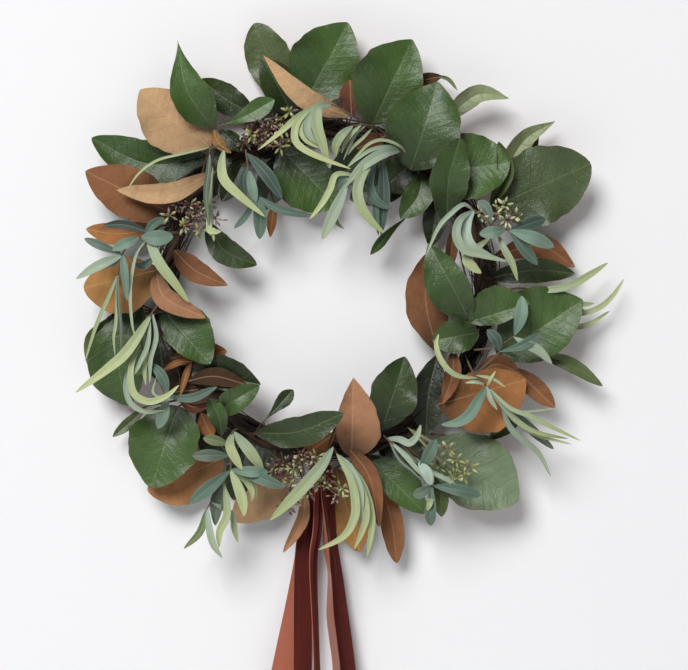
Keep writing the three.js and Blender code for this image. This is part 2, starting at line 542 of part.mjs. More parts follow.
// Stems first, then the blades: points, width seen from the front, kind of blade and its turn.
const sprigs = [
  sprig('sprig_top_left', 'willow', [
    [[47, 189, 8], [46, 196, 40], [30, 206, 54], [9, 217, 60], [-8, 218, 62]],
    [[46, 196, 40], [42, 195, 52], [33, 192, 58]],
  ], [
    [[[-8, 218, 62], [-26, 203, 68], [-35, 187, 72], [-32, 169, 74], [-8, 154, 74], [31, 140, 68]],
      9, 'arc'],
    [[[-6, 218, 62], [-22, 196, 66], [-16, 172, 68], [-3, 164, 66]], 15, 'arc'],
    [[[8, 218, 61], [-8, 212, 72], [-9, 190, 76], [-2, 168, 74], [5, 141, 66]], 14],
    [[[-26, 206, 64], [-38, 197, 62], [-53, 184, 60], [-80, 163, 56]], 8],
    [[[33, 192, 58], [20, 180, 66], [13, 168, 62], [13, 155, 56]], 11],
    [[[44, 194, 56], [33, 184, 58], [24, 171, 56], [20, 160, 54]], 5, 'fine'],
  ]),
  sprig('sprig_top', 'willow', [
    [[86, 167, 0], [84, 162, 24], [78, 163, 52], [62, 156, 64], [42, 138, 66], [28, 128, 64]],
  ], [
    [[[84, 163, 48], [70, 174, 60], [54, 171, 64], [27, 143, 66]], 5, 'fine'],
    [[[86, 162, 50], [74, 160, 66], [56, 151, 74], [40, 138, 76], [24, 119, 68]], 13, 'arc'],
    [[[66, 156, 62], [48, 139, 76], [39, 117, 80], [42, 97, 80], [54, 79, 76], [70, 64, 68]], 13, 'arc'],
    [[[30, 142, 64], [14, 133, 72], [6, 115, 72], [-4, 98, 68], [-18, 81, 62]], 8, 'arc'],
    [[[28, 128, 64], [17, 106, 66], [2, 80, 62], [-8, 56, 56]], 14, 'teal'],
    [[[31, 138, 66], [24, 128, 66], [22, 112, 60]], 15, 'teal'],
    [[[62, 156, 62], [54, 122, 60], [61, 103, 62], [81, 93, 54]], 11, 'teal'],
    [[[68, 158, 60], [70, 126, 56], [70, 98, 54], [67, 63, 48]], 15, 'teal'],
    [[[24, 112, 60], [13, 92, 56], [14, 78, 54], [23, 70, 50]], 6, 'fine'],
  ]),
  sprig('sprig_upper_left_inner', 'teal', [
    [[-96, 166, 8], [-95, 164, 34], [-91, 141, 42], [-86, 122, 46], [-81, 109, 48]],
  ], [
    [[[-93, 162, 34], [-71, 137, 50], [-51, 107, 46]], 14, 'teal'],
    [[[-81, 110, 47], [-77, 86, 50], [-78, 58, 44]], 18, 'teal'],
    [[[-80, 110, 47], [-61, 96, 52], [-38, 89, 52], [-14, 86, 44]], 10],
    [[[-83, 106, 46], [-95, 85, 46], [-109, 71, 40]], 8, 'teal'],
    [[[-91, 142, 42], [-87, 122, 52], [-82, 102, 50]], 12, 'teal'],
    [[[-93, 146, 40], [-98, 130, 40], [-95, 108, 36]], 10, 'teal'],
  ]),
  sprig('sprig_left', 'teal', [
    [[-174, 65, 8], [-178, 66, 46], [-200, 62, 60], [-218, 60, 66], [-238, 42, 66], [-246, 14, 60]],
  ], [
    [[[-218, 60, 66], [-199, 58, 74], [-179, 60, 68]], 19, 'teal'],
    [[[-218, 59, 66], [-234, 52, 74], [-252, 44, 68]], 13, 'teal'],
    [[[-240, 40, 66], [-264, 49, 70], [-285, 58, 62]], 11, 'teal'],
    [[[-241, 38, 66], [-266, 26, 74], [-295, 10, 62]], 12],
    [[[-238, 38, 66], [-236, 16, 72], [-234, -16, 64]], 10],
    [[[-210, 60, 62], [-203, 45, 72], [-193, 26, 76], [-178, 6, 72], [-161, -18, 62]], 13],
    [[[-212, 56, 64], [-224, 36, 66], [-230, -2, 66], [-225, -61, 54]], 5, 'fine'],
    [[[-246, 14, 62], [-244, -20, 64], [-243, -71, 54]], 5, 'fine'],
    [[[-246, 12, 60], [-256, -10, 60], [-272, -46, 56], [-286, -88, 50]], 5, 'fine'],
    [[[-204, 74, 54], [-236, 74, 60], [-264, 74, 54]], 11, 'teal'],
  ]),
  sprig('sprig_left_low', 'willow', [
    [[-199, -13, 8], [-202, -24, 48], [-208, -36, 58], [-218, -66, 58], [-206, -92, 52], [-194, -120, 50],
      [-188, -132, 48]],
  ], [
    [[[-206, -32, 58], [-221, -58, 70], [-237, -80, 74], [-260, -99, 72], [-296, -125, 60]], 13, 'arc'],
    [[[-204, -36, 56], [-209, -66, 66], [-218, -88, 66], [-226, -104, 64]], 6, 'fine'],
    [[[-200, -34, 54], [-200, -58, 60], [-206, -84, 62], [-208, -114, 58]], 6, 'fine'],
    [[[-218, -66, 58], [-229, -94, 66], [-226, -124, 70], [-208, -135, 70], [-188, -129, 66],
      [-173, -116, 58]], 9, 'arc'],
    [[[-220, -74, 56], [-235, -106, 60], [-232, -134, 62], [-214, -147, 62], [-190, -146, 56]], 7, 'arc'],
    [[[-208, -88, 53], [-194, -104, 60], [-186, -123, 58]], 13, 'teal'],
    [[[-189, -130, 49], [-158, -131, 60], [-128, -118, 54]], 11, 'teal'],
    [[[-189, -132, 48], [-192, -150, 56], [-199, -168, 50]], 15, 'teal'],
  ]),
  sprig('sprig_lower_left', 'willow', [
    [[-104, -170, 6], [-110, -172, 46], [-114, -190, 54], [-112, -216, 56], [-124, -236, 54],
      [-142, -266, 54]],
  ], [
    [[[-116, -172, 48], [-112, -188, 66], [-105, -203, 68], [-98, -216, 64]], 12],
    [[[-108, -172, 46], [-94, -188, 60], [-82, -204, 60], [-73, -219, 54]], 14],
    [[[-114, -188, 50], [-130, -182, 54], [-145, -179, 52]], 13, 'teal'],
    [[[-114, -200, 54], [-136, -199, 62], [-157, -200, 60]], 15, 'teal'],
    [[[-113, -217, 56], [-137, -237, 66], [-161, -257, 60]], 16, 'teal'],
    [[[-110, -217, 56], [-88, -218, 66], [-67, -219, 60]], 14, 'teal'],
    [[[-110, -218, 56], [-68, -229, 67], [-47, -237, 64]], 15, 'teal'],
    [[[-110, -218, 56], [-102, -238, 64], [-97, -256, 62], [-96, -272, 56]], 13],
    [[[-122, -228, 54], [-128, -254, 50], [-131, -284, 46]], 17],
    [[[-118, -230, 54], [-116, -268, 56], [-125, -290, 56], [-126, -310, 52]], 10],
    [[[-140, -262, 54], [-137, -286, 60], [-132, -306, 58], [-122, -322, 52]], 9],
    [[[-142, -266, 54], [-148, -290, 58], [-168, -311, 52]], 9],
  ]),
  sprig('sprig_bottom', 'willow', [[[16, -203, 8], [15, -200, 46], [10, -189, 60]]], [
    [[[9, -188, 60], [-4, -211, 72], [-25, -235, 76], [-46, -257, 74], [-65, -276, 66]], 15],
    [[[14, -200, 56], [30, -225, 66], [36, -250, 68], [35, -272, 68], [22, -295, 64], [-8, -312, 56]],
      11, 'arc'],
    [[[15, -200, 54], [36, -224, 60], [46, -248, 62], [49, -270, 62], [44, -290, 58], [35, -311, 52]],
      10, 'arc'],
    [[[16, -200, 52], [40, -225, 54], [51, -250, 56], [56, -276, 56], [54, -300, 52], [50, -321, 46]],
      9, 'arc'],
    [[[15, -200, 52], [30, -212, 58], [42, -236, 64], [43, -262, 64], [38, -284, 60]], 7],
  ]),
  sprig('sprig_bottom_right', 'teal', [
    [[71, -178, 8], [74, -180, 46], [90, -194, 56], [108, -212, 60], [128, -236, 58]],
  ], [
    [[[73, -180, 46], [88, -180, 60], [100, -184, 66], [109, -176, 64], [114, -163, 58]], 9],
    [[[78, -182, 50], [94, -198, 62], [110, -216, 64], [126, -231, 60]], 6, 'fine'],
    [[[104, -206, 60], [120, -218, 68], [126, -234, 64]], 14, 'teal'],
    [[[108, -212, 60], [123, -198, 68], [132, -180, 62]], 15, 'teal'],
    [[[126, -236, 58], [126, -268, 66], [128, -290, 58]], 14, 'teal'],
    [[[127, -238, 58], [115, -243, 62], [105, -247, 58]], 13, 'teal'],
    [[[130, -238, 58], [160, -240, 66], [186, -247, 58]], 15, 'teal'],
  ]),
  sprig('sprig_upper_right', 'teal', [
    [[177, 85, 8], [176, 92, 50], [182, 88, 60], [200, 74, 66], [220, 67, 64]],
  ], [
    [[[178, 97, 56], [164, 98, 66], [148, 86, 72], [134, 70, 72], [120, 38, 64]], 6, 'arc'],
    [[[178, 96, 56], [160, 80, 74], [155, 62, 78], [164, 45, 76], [186, 38, 72], [216, 31, 64]], 11, 'arc'],
    [[[179, 97, 56], [169, 79, 66], [167, 62, 70], [176, 47, 70], [200, 36, 64]], 13],
    [[[180, 92, 60], [169, 50, 66], [176, 24, 64], [186, 17, 58]], 12],
    [[[204, 72, 64], [213, 44, 68], [222, 28, 66], [229, 8, 58]], 9],
    [[[199, 76, 62], [191, 94, 64], [182, 103, 58]], 13, 'teal'],
    [[[214, 67, 64], [199, 65, 74], [183, 63, 68]], 15, 'teal'],
    [[[218, 67, 64], [246, 58, 74], [272, 48, 62]], 17, 'teal'],
    [[[219, 66, 62], [236, 46, 64], [253, 27, 56]], 14, 'teal'],
    [[[220, 68, 62], [244, 76, 60], [263, 82, 52]], 16, 'teal'],
  ]),
  sprig('sprig_right_tip', 'willow', [
    [[198, -36, 2], [226, -36, 3], [256, -32, 6], [280, -34, 10]],
    [[256, -32, 6], [276, -20, 12], [290, -4, 16]],
  ], [
    [[[290, 2, 18], [318, 16, 20], [342, 31, 16]], 10],
    [[[276, -34, 10], [306, -31, 14], [330, -24, 16], [348, -9, 14], [363, 12, 8]], 7, 'arc'],
    [[[274, -36, 10], [296, -45, 10], [318, -44, 10], [346, -27, 6]], 7],
    [[[280, -20, 12], [298, -16, 12], [314, -19, 12], [327, -18, 8]], 7],
  ]),
  sprig('sprig_right', 'teal', [
    [[181, -74, 8], [182, -74, 50], [205, -70, 58], [226, -57, 58]],
  ], [
    [[[226, -57, 58], [232, -34, 66], [234, -10, 60]], 16, 'teal'],
    [[[226, -62, 58], [238, -67, 66], [254, -75, 64], [270, -91, 58]], 12, 'teal'],
    [[[208, -77, 58], [230, -70, 68], [246, -62, 66], [257, -54, 60]], 12, 'teal'],
    [[[208, -74, 56], [203, -62, 62], [193, -50, 58]], 14, 'teal'],
  ]),
  sprig('sprig_lower_right', 'willow', [
    [[170, -80, 8], [174, -96, 50], [180, -106, 62], [192, -117, 64], [216, -142, 62]],
  ], [
    [[[182, -107, 62], [156, -104, 66], [140, -90, 68], [132, -70, 66], [135, -55, 60]], 7, 'arc'],
    [[[191, -118, 64], [196, -108, 70], [202, -99, 68]], 5, 'fine'],
    [[[191, -118, 65], [181, -134, 74], [170, -151, 74], [156, -160, 70], [138, -163, 60]], 14],
    [[[194, -119, 66], [218, -142, 72], [242, -152, 72], [270, -166, 66], [304, -182, 56]], 8],
    [[[193, -119, 66], [214, -144, 66], [230, -160, 64], [252, -172, 60], [290, -180, 50]], 10],
    [[[216, -142, 62], [232, -163, 58], [254, -178, 54], [295, -188, 46]], 7],
    [[[214, -142, 60], [236, -160, 52], [254, -176, 46], [274, -193, 38]], 12],
    [[[208, -136, 58], [210, -168, 52], [226, -184, 44], [250, -188, 38], [263, -202, 34],
      [270, -225, 28]], 12, 'arc'],
  ]),
  sprig('sprig_upper_left', 'willow', [
    [[-132, 140, 8], [-136, 152, 52], [-132, 164, 58], [-120, 164, 60]],
  ], [
    [[[-137, 165, 60], [-178, 153, 62], [-212, 141, 60], [-243, 119, 52]], 5, 'fine'],
    [[[-120, 163, 60], [-122, 143, 66], [-118, 126, 70], [-100, 108, 68], [-71, 84, 58]], 12, 'arc'],
    [[[-136, 154, 54], [-138, 138, 62], [-141, 108, 60], [-137, 70, 54]], 7, 'fine'],
  ]),
];

// The root, the hub, the seed and the middle of each cluster.
const seedSprays = [
  seedSpray('seeds_top_left', [-86, 172, 8], [-84, 174, 20], 11, [
    [-89, 186, 34], [-70, 196, 38], [-74, 176, 42], [-42, 208, 48], [-52, 170, 40],
  ]),
  seedSpray('seeds_left', [-170, 100, 8], [-168, 98, 20], 12, [
    [-180, 80, 46], [-160, 90, 48], [-144, 92, 40], [-146, 68, 44],
  ]),
  seedSpray('seeds_upper_right', [188, 62, 8], [189, 64, 20], 13, [
    [188, 98, 50], [206, 92, 52], [224, 92, 46], [210, 104, 50], [192, 84, 44],
  ]),
  seedSpray('seeds_lower_right', [100, -168, 8], [101, -169, 20], 14, [
    [145, -198, 46], [173, -215, 44], [152, -216, 46], [152, -226, 54],
  ]),
  seedSpray('seeds_bottom', [-36, -190, 8], [-31, -197, 36], 15, [
    [-52, -208, 42], [-32, -206, 50], [-14, -214, 50], [-46, -226, 48], [-24, -228, 54],
    [-4, -232, 56], [-35, -248, 52], [14, -246, 46],
  ]),
];

// Stations down each strip: [x, z, forward, turn, width].
const ribbonTails = [
  [[-13, -216, 10, 150, 14], [-22, -323, 8, 175, 25], [-49, -458, 12, 180, 25], [-76, -586, 8, 185, 25]],
  [[-10, -215, 17, 10, 16], [-26, -323, 22, 35, 25], [-27, -458, 20, 30, 25], [-30, -600, 14, 20, 25]],
  [[-7, -216, 23, 48, 10], [-13, -323, 32, 70, 24], [-10, -458, 30, 70, 25], [-6, -566, 26, 60, 25]],
  [[-1, -217, 19, 50, 12], [1, -270, 26, 118, 18], [5, -400, 24, 116, 24], [14, -572, 16, 140, 25]],
  [[0, -215, 12, 20, 14], [13, -323, 12, 40, 25], [27, -458, 12, 30, 25], [40, -590, 8, 20, 25]],
].map((stations) => ribbonStrip(stations, tailRows));

const wreath = new THREE.Group();
wreath.add(mesh('vine_ring', ringBody, colours.vine, 0.85));
[...leafyStems, ...sprigs, ...seedSprays].forEach((piece) => wreath.add(piece));
wreath.add(velvetRibbon(ribbonTails));

export default wreath;
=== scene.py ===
import math
import bpy
import numpy as np
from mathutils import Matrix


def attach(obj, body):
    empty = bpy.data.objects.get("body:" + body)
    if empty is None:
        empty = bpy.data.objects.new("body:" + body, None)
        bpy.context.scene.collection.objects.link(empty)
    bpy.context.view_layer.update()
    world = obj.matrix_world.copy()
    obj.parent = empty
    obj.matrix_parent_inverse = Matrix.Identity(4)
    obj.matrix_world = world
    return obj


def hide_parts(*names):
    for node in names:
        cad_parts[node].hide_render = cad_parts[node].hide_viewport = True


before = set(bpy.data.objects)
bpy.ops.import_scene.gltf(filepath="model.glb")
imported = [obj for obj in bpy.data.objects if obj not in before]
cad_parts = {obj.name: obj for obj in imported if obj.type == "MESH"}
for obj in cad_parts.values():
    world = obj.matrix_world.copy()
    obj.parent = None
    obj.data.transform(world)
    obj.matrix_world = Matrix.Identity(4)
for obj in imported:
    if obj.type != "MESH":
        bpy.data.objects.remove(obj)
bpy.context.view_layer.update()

# Magnolia wreath on a pale wall. Places are [x, z, forward] in millimetres from the middle of the ring,
# forward being towards the viewer; place() turns them into metres in the part's own frame.
ring = {"radius": 194.0, "middleHeight": -181.0, "hubRadius": 15.2, "hubHead": 1.8, "rootDepth": 8.0}

palette = {
    "deep": "#3a5323", "mid": "#425d28", "dark": "#2d3f17", "black": "#222f13", "grey": "#56653c",
    "pale": "#6f8160", "olive": "#4f5b2b", "moss": "#455530", "sage": "#8a956e",
    "tan": "#c49f76", "golden": "#a87a45", "orange": "#a56f3f", "rust": "#8d5d3b", "pink": "#a67857",
    "red": "#774733", "umber": "#4a2f1c", "peach": "#bb8658",
}
greens = ("deep", "mid", "dark", "black", "grey", "pale", "olive", "moss", "sage")


# Turns an sRGB hex colour into linear red, green, blue and alpha.
def linear(hexColour):
    parts = np.array([int(hexColour[i:i + 2], 16) for i in (1, 3, 5)]) / 255
    value = np.where(parts <= 0.04045, parts / 12.92, ((parts + 0.055) / 1.055) ** 2.4)
    return np.append(value, 1.0)


# Millimetres round the ring's middle to metres in the part's frame: x, minus forward, z plus the middle's height.
def place(points):
    p = np.asarray(points, float)
    return np.stack([p[..., 0], -p[..., 2], p[..., 1] + ring["middleHeight"]], -1) / 1000


# A point at an angle round the ring, a second angle round the vines from the front, and a distance off
# the vines' centreline, as [x, z, forward] in millimetres.
def onRing(angle, around, distance):
    turn, lean = np.radians(angle), np.radians(around)
    reach = ring["radius"] + distance * np.sin(lean)
    return np.stack([reach * np.cos(turn), reach * np.sin(turn), distance * np.cos(lean)], -1)


# The rows of an array as unit vectors.
def unit(vectors, tiny=1e-12):
    return vectors / (np.linalg.norm(vectors, axis=1, keepdims=True) + tiny)


# Lengths of the steps from each point to the next.
def hops(points):
    return np.linalg.norm(np.diff(points, axis=0), axis=1)


# A smooth curve through the points: each stretch is a cubic whose slope at a point is half the way from
# the point before it to the point after it. Gives the places and the unit tangents.
def curveThrough(points, along):
    p = np.asarray(points, float)
    q = np.vstack([2 * p[0] - p[1], p, 2 * p[-1] - p[-2]])
    s = np.clip(along, 0, 1) * (len(p) - 1)
    i = np.minimum(s.astype(int), len(p) - 2)
    w = (s - i)[:, None]
    before, start, end, after = q[i], q[i + 1], q[i + 2], q[i + 3]
    slopeIn, slopeOut = (end - before) / 2, (after - start) / 2
    square = 3 * (end - start) - 2 * slopeIn - slopeOut
    cube = 2 * (start - end) + slopeIn + slopeOut
    tangent = slopeIn + 2 * square * w + 3 * cube * w ** 2
    return start + slopeIn * w + square * w ** 2 + cube * w ** 3, unit(tangent)


# Normal and side of a blade along its tangents: the normal is the forward direction made square to the
# tangent, the side is tangent x normal, and both turn by the angle about the tangent.
def bladeFrame(tangent, degrees):
    forward = np.array([0.0, -1.0, 0.0])
    normal = unit(forward - (tangent @ forward)[:, None] * tangent)
    side = np.cross(tangent, normal)
    turn = np.radians(np.broadcast_to(degrees, len(tangent)))[:, None]
    return normal * np.cos(turn) - side * np.sin(turn), side * np.cos(turn) + normal * np.sin(turn)


# One closed thin sheet from two grids of points: front faces, back faces turned over, and a rim of quads
# round the border. Slots are the material numbers of front, back and rim.
def sheetShell(front, back, uv, tintFront, tintBack, slots):
    rows, columns = front.shape[:2]
    count = rows * columns
    index = np.arange(count).reshape(rows, columns)
    a, b, c, d = index[:-1, :-1], index[:-1, 1:], index[1:, 1:], index[1:, :-1]
    frontFaces = np.stack([a, b, c, d], -1).reshape(-1, 4)
    backFaces = np.stack([a, d, c, b], -1).reshape(-1, 4) + count
    border = np.concatenate([index[0], index[1:, -1], index[-1, -2::-1], index[-2:0:-1, 0]])
    onward = np.roll(border, -1)
    rimFaces = np.stack([onward, border, border + count, onward + count], -1)
    grid = (count, -1)
    return {
        "points": np.vstack([front.reshape(grid), back.reshape(grid)]),
        "faces": np.vstack([frontFaces, backFaces, rimFaces]),
        "slots": np.repeat(slots, [len(frontFaces), len(backFaces), len(rimFaces)]),
        "uv": np.tile(uv.reshape(grid), (2, 1)),
        "tint": np.vstack([tintFront.reshape(grid), tintBack.reshape(grid)]),
    }


# Circles round the points of a path, spanned by the two directions, one row of points for each.
def circles(centre, first, second, angle, radius):
    circle = first[:, None] * np.cos(angle)[:, None] + second[:, None] * np.sin(angle)[:, None]
    return centre[:, None] + circle * radius[:, None, None]


# A tube along a smooth curve: at each step a circle of the given radius, square to the curve, and closed
# by running the first and last circles down to a tenth of a millimetre. One colour, or root's and tip's.
def tubeShell(points, radii, tint, sides, steps, slot=0):
    along = np.linspace(0, 1, steps)
    centre, tangent = curveThrough(points, along)
    first = unit(np.cross(tangent, np.linalg.svd(tangent)[2][-1]))
    second = np.cross(tangent, first)
    radius = np.interp(along, np.linspace(0, 1, len(radii)), radii)
    radius = np.concatenate([[1e-4], radius, [1e-4]])
    doubled = np.r_[0, :steps, steps - 1]
    centre = centre[doubled]
    angle = np.arange(sides) * 2 * np.pi / sides
    surface = circles(centre, first[doubled], second[doubled], angle, radius)
    index = np.arange((steps + 2) * sides).reshape(-1, sides)
    nextOne = np.roll(index, -1, axis=1)
    faces = np.stack([index[:-1], nextOne[:-1], nextOne[1:], index[1:]], -1).reshape(-1, 4)
    lengths = hops(centre)
    run = np.concatenate([[0], np.cumsum(lengths)])
    uv = np.stack(np.broadcast_arrays(angle[None, :] * radius.max(), run[:, None]), -1)
    rootTint, tipTint = np.broadcast_to(tint, (2, 4))
    tints = rootTint + (tipTint - rootTint) * (run / lengths.sum())[:, None]
    return {
        "points": surface.reshape(-1, 3),
        "faces": faces,
        "slots": np.full(len(faces), slot),
        "uv": uv.reshape(-1, 2),
        "tint": np.repeat(tints, sides, axis=0),
        "caps": [index[0][::-1], index[-1]],
    }


# Puts a list of shells into one mesh object at the origin, with its UV map and its tint attribute. The piece
# belongs to the body root and takes the place of the CAD node.
def makePiece(name, node, shells, materials, sharpAngle=50):
    starts = np.cumsum([0] + [len(s["points"]) for s in shells])
    points, uv, tints = (np.vstack([s[key] for s in shells]) for key in ("points", "uv", "tint"))
    quads = np.vstack([s["faces"] + start for s, start in zip(shells, starts)])
    caps = [cap + start for s, start in zip(shells, starts) for cap in s.get("caps", [])]
    capSlots = [s["slots"][0] for s in shells for _ in s.get("caps", [])]
    corners = np.concatenate([quads.ravel()] + caps)
    sizes = np.concatenate([np.full(len(quads), 4), [len(cap) for cap in caps]]).astype(int)
    mesh = bpy.data.meshes.new(name)
    mesh.vertices.add(len(points))
    mesh.vertices.foreach_set("co", points.ravel())
    mesh.loops.add(len(corners))
    mesh.loops.foreach_set("vertex_index", corners)
    mesh.polygons.add(len(sizes))
    mesh.polygons.foreach_set("loop_start", np.concatenate([[0], np.cumsum(sizes)[:-1]]))
    mesh.polygons.foreach_set("loop_total", sizes)
    slots = np.concatenate([s["slots"] for s in shells] + [capSlots]).astype(int)
    mesh.polygons.foreach_set("material_index", slots)
    mesh.update(calc_edges=True)
    mesh.uv_layers.new(name="surface").data.foreach_set("uv", uv[corners].ravel())
    mesh.attributes.new("tint", "FLOAT_COLOR", "POINT").data.foreach_set("color", tints.ravel())
    mesh.polygons.foreach_set("use_smooth", np.ones(len(sizes), bool))
    mesh.set_sharp_from_angle(angle=math.radians(sharpAngle))
    for material in materials:
        mesh.materials.append(material)
    piece = bpy.data.objects.new(name, mesh)
    bpy.context.scene.collection.objects.link(piece)
    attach(piece, "root")
    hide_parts(node)
    return piece


# Adds one node to a material and gives one of its outputs. An input that is another node's output is linked
# to it; any other is a constant.
def addNode(tree, kind, inputs, output=0, **properties):
    node = tree.nodes.new("ShaderNode" + kind)
    for name, value in properties.items():
        setattr(node, name, value)
    for socket, value in inputs.items():
        if isinstance(value, bpy.types.NodeSocket):
            tree.links.new(value, node.inputs[socket])
        else:
            node.inputs[socket].default_value = value
    return node.outputs[output]


# A new material with its Principled shader; constant settings go straight onto the shader's sockets.
def newMaterial(name, **settings):
    material = bpy.data.materials.new(name)
    material.use_nodes = True
    tree = material.node_tree
    shader = tree.nodes["Principled BSDF"]
    for socket, value in settings.items():
        shader.inputs[socket.replace("_", " ")].default_value = value
    return material, tree, shader


def calculate(tree, operation, a, b=0.0):
    return addNode(tree, "Math", {0: a, 1: b}, operation=operation)


def noise(tree, where, scale, detail, roughness=0.5):
    inputs = {"Vector": where, "Scale": scale, "Detail": detail, "Roughness": roughness}
    return addNode(tree, "TexNoise", inputs, "Fac")


def mapRange(tree, value, fromMin, fromMax, toMin=0.0, toMax=1.0, curve="LINEAR"):
    inputs = {"Value": value, "From Min": fromMin, "From Max": fromMax, "To Min": toMin, "To Max": toMax}
    return addNode(tree, "MapRange", inputs, "Result", interpolation_type=curve)


# A noise's middle part spread over 1 - share to 1 + share.
def uneven(tree, value, share):
    return mapRange(tree, value, 0.3, 0.7, 1 - share, 1 + share)


def surfaceUv(tree):
    return addNode(tree, "UVMap", {}, "UV", uv_map="surface")


# Noise drawn out along a piece, with its features counted per metre across it and along it.
def streaks(tree, across, along, detail, roughness=0.5):
    drawnOut = addNode(tree, "VectorMath", {0: surfaceUv(tree), 1: (across, along, 1.0)}, operation="MULTIPLY")
    return noise(tree, drawnOut, 1.0, detail, roughness)


# The piece's own colour, times a level.
def tintTimes(tree, level):
    tint = addNode(tree, "Attribute", {}, "Color", attribute_name="tint")
    return addNode(tree, "VectorMath", {0: tint, "Scale": level}, operation="SCALE")


def mixColours(tree, share, first, second):
    return addNode(tree, "Mix", {"Factor": share, "A": first, "B": second}, "Result", data_type="RGBA")


# Lines of a colour over another: their share is the pattern times a strength.
def drawLines(tree, colour, pattern, strength, lineColour):
    return mixColours(tree, calculate(tree, "MULTIPLY", pattern, strength), colour, linear(lineColour))


# Sets a shader's colour and its bumps, whose distance is in metres.
def finishShader(tree, shader, colour, height, strength, distance):
    tree.links.new(colour, shader.inputs["Base Color"])
    bump = addNode(tree, "Bump", {"Height": height, "Strength": strength, "Distance": distance})
    tree.links.new(bump, shader.inputs["Normal"])


leafVeins = {"spacing": 0.0088, "slope": 0.62, "width": 0.07, "shake": 0.009, "midrib": (0.0009, 0.0003)}


# Distance patterns of a magnolia leaf from its UV map in metres: side veins leave the midrib at a slant
# every few millimetres, phase = (along - slope x |across|) / spacing, shaken a little by noise.
def veinPattern(tree):
    uv = surfaceUv(tree)
    x = addNode(tree, "SeparateXYZ", {"Vector": uv}, "X")
    across = calculate(tree, "ABSOLUTE", x)
    slant = calculate(tree, "MULTIPLY", across, leafVeins["slope"])
    shift = calculate(tree, "MULTIPLY", noise(tree, uv, 55.0, 1.0), leafVeins["shake"])
    run = calculate(tree, "ADD", calculate(tree, "SUBTRACT", x.node.outputs["Y"], slant), shift)
    phase = calculate(tree, "DIVIDE", run, leafVeins["spacing"])
    wave = calculate(tree, "PINGPONG", phase, 1.0)
    vein = mapRange(tree, wave, leafVeins["width"], 0.0, curve="SMOOTHSTEP")
    return uv, vein, mapRange(tree, across, *leafVeins["midrib"], curve="SMOOTHSTEP")


# Waxed face of a cloth leaf: printed green with paler veins and midrib, dipped in wax, so a soft satin
# shine with a finely creased surface.
def makeWaxedLeaf():
    material, tree, shader = newMaterial("waxed_leaf_face", IOR=1.5, Coat_Weight=0.15, Coat_Roughness=0.3)
    uv, vein, midrib = veinPattern(tree)
    cloud = noise(tree, uv, 22.0, 3.0)
    colour = tintTimes(tree, uneven(tree, cloud, 0.14))
    colour = drawLines(tree, colour, vein, 0.2, "#6f8350")
    colour = drawLines(tree, colour, midrib, 0.3, "#7d8e58")
    crease = addNode(tree, "TexVoronoi", {"Scale": 420.0, "Vector": uv}, "Distance", feature="DISTANCE_TO_EDGE")
    creases = calculate(tree, "MULTIPLY", crease, 0.7)
    swells = calculate(tree, "MULTIPLY", noise(tree, uv, 42.0, 2.0), 2.4)
    wrinkles = calculate(tree, "MULTIPLY", noise(tree, uv, 95.0, 4.0, 0.62), 1.6)
    height = calculate(tree, "ADD", calculate(tree, "ADD", creases, swells), wrinkles)
    height = calculate(tree, "SUBTRACT", height, calculate(tree, "MULTIPLY", vein, 0.6))
    finishShader(tree, shader, colour, height, 0.8, 0.001)
    tree.links.new(mapRange(tree, cloud, 0.0, 1.0, 0.34, 0.48), shader.inputs["Roughness"])
    return material


# Flocked back of the same leaf: short brown pile, dull, with the veins pressed in a little darker and a
# paler midrib.
def makeSuedeLeaf():
    material, tree, shader = newMaterial("flocked_leaf_back", Roughness=0.88, Sheen_Weight=0.22,
                                         Sheen_Roughness=0.5, Sheen_Tint=linear("#e0b58a"))
    uv, vein, midrib = veinPattern(tree)
    fibre = noise(tree, uv, 1500.0, 2.0)
    clouds = uneven(tree, noise(tree, uv, 30.0, 4.0, 0.6), 0.16)
    colour = tintTimes(tree, calculate(tree, "MULTIPLY", clouds, uneven(tree, fibre, 0.07)))
    colour = drawLines(tree, colour, vein, 0.14, "#7a4d2c")
    colour = drawLines(tree, colour, midrib, 0.35, "#cfa57a")
    wrinkles = calculate(tree, "MULTIPLY", noise(tree, uv, 80.0, 4.0, 0.6), 3.6)
    height = calculate(tree, "ADD", wrinkles, fibre)
    height = calculate(tree, "SUBTRACT", height, calculate(tree, "MULTIPLY", vein, 0.5))
    finishShader(tree, shader, colour, height, 0.8, 0.001)
    return material


# Narrow cloth leaf with a frosted print: the blade's own tint, a fine lengthwise grain and a pale line down
# the middle.
def makeFrostedLeaf(name, midribColour):
    material, tree, shader = newMaterial(name, Roughness=0.62, Sheen_Weight=0.12, Sheen_Roughness=0.6)
    x = addNode(tree, "SeparateXYZ", {"Vector": surfaceUv(tree)}, "X")
    midrib = mapRange(tree, calculate(tree, "ABSOLUTE", x), 0.0007, 0.0002, curve="SMOOTHSTEP")
    grain = streaks(tree, 900.0, 60.0, 3.0)
    colour = drawLines(tree, tintTimes(tree, uneven(tree, grain, 0.12)), midrib, 0.3, midribColour)
    finishShader(tree, shader, colour, grain, 0.25, 0.0003)
    return material


# Dried vine bark: dark brown with paler split ridges that run along each vine.
def makeBark():
    material, tree, shader = newMaterial("dried_vine_bark", Roughness=0.86)
    ridge = streaks(tree, 700.0, 70.0, 5.0, 0.65)
    colour = tintTimes(tree, mapRange(tree, ridge, 0.3, 0.72, 0.45, 1.7))
    finishShader(tree, shader, colour, ridge, 0.6, 0.0008)
    return material


# Moulded seed buds and stalks: matt plastic with a powdered bloom, mottled from bud to bud.
def makeBuds():
    material, tree, shader = newMaterial("moulded_seed_buds", Roughness=0.6)
    speck = noise(tree, addNode(tree, "TexCoord", {}, "Object"), 700.0, 3.0)
    finishShader(tree, shader, tintTimes(tree, uneven(tree, speck, 0.18)), speck, 0.3, 0.0003)
    return material


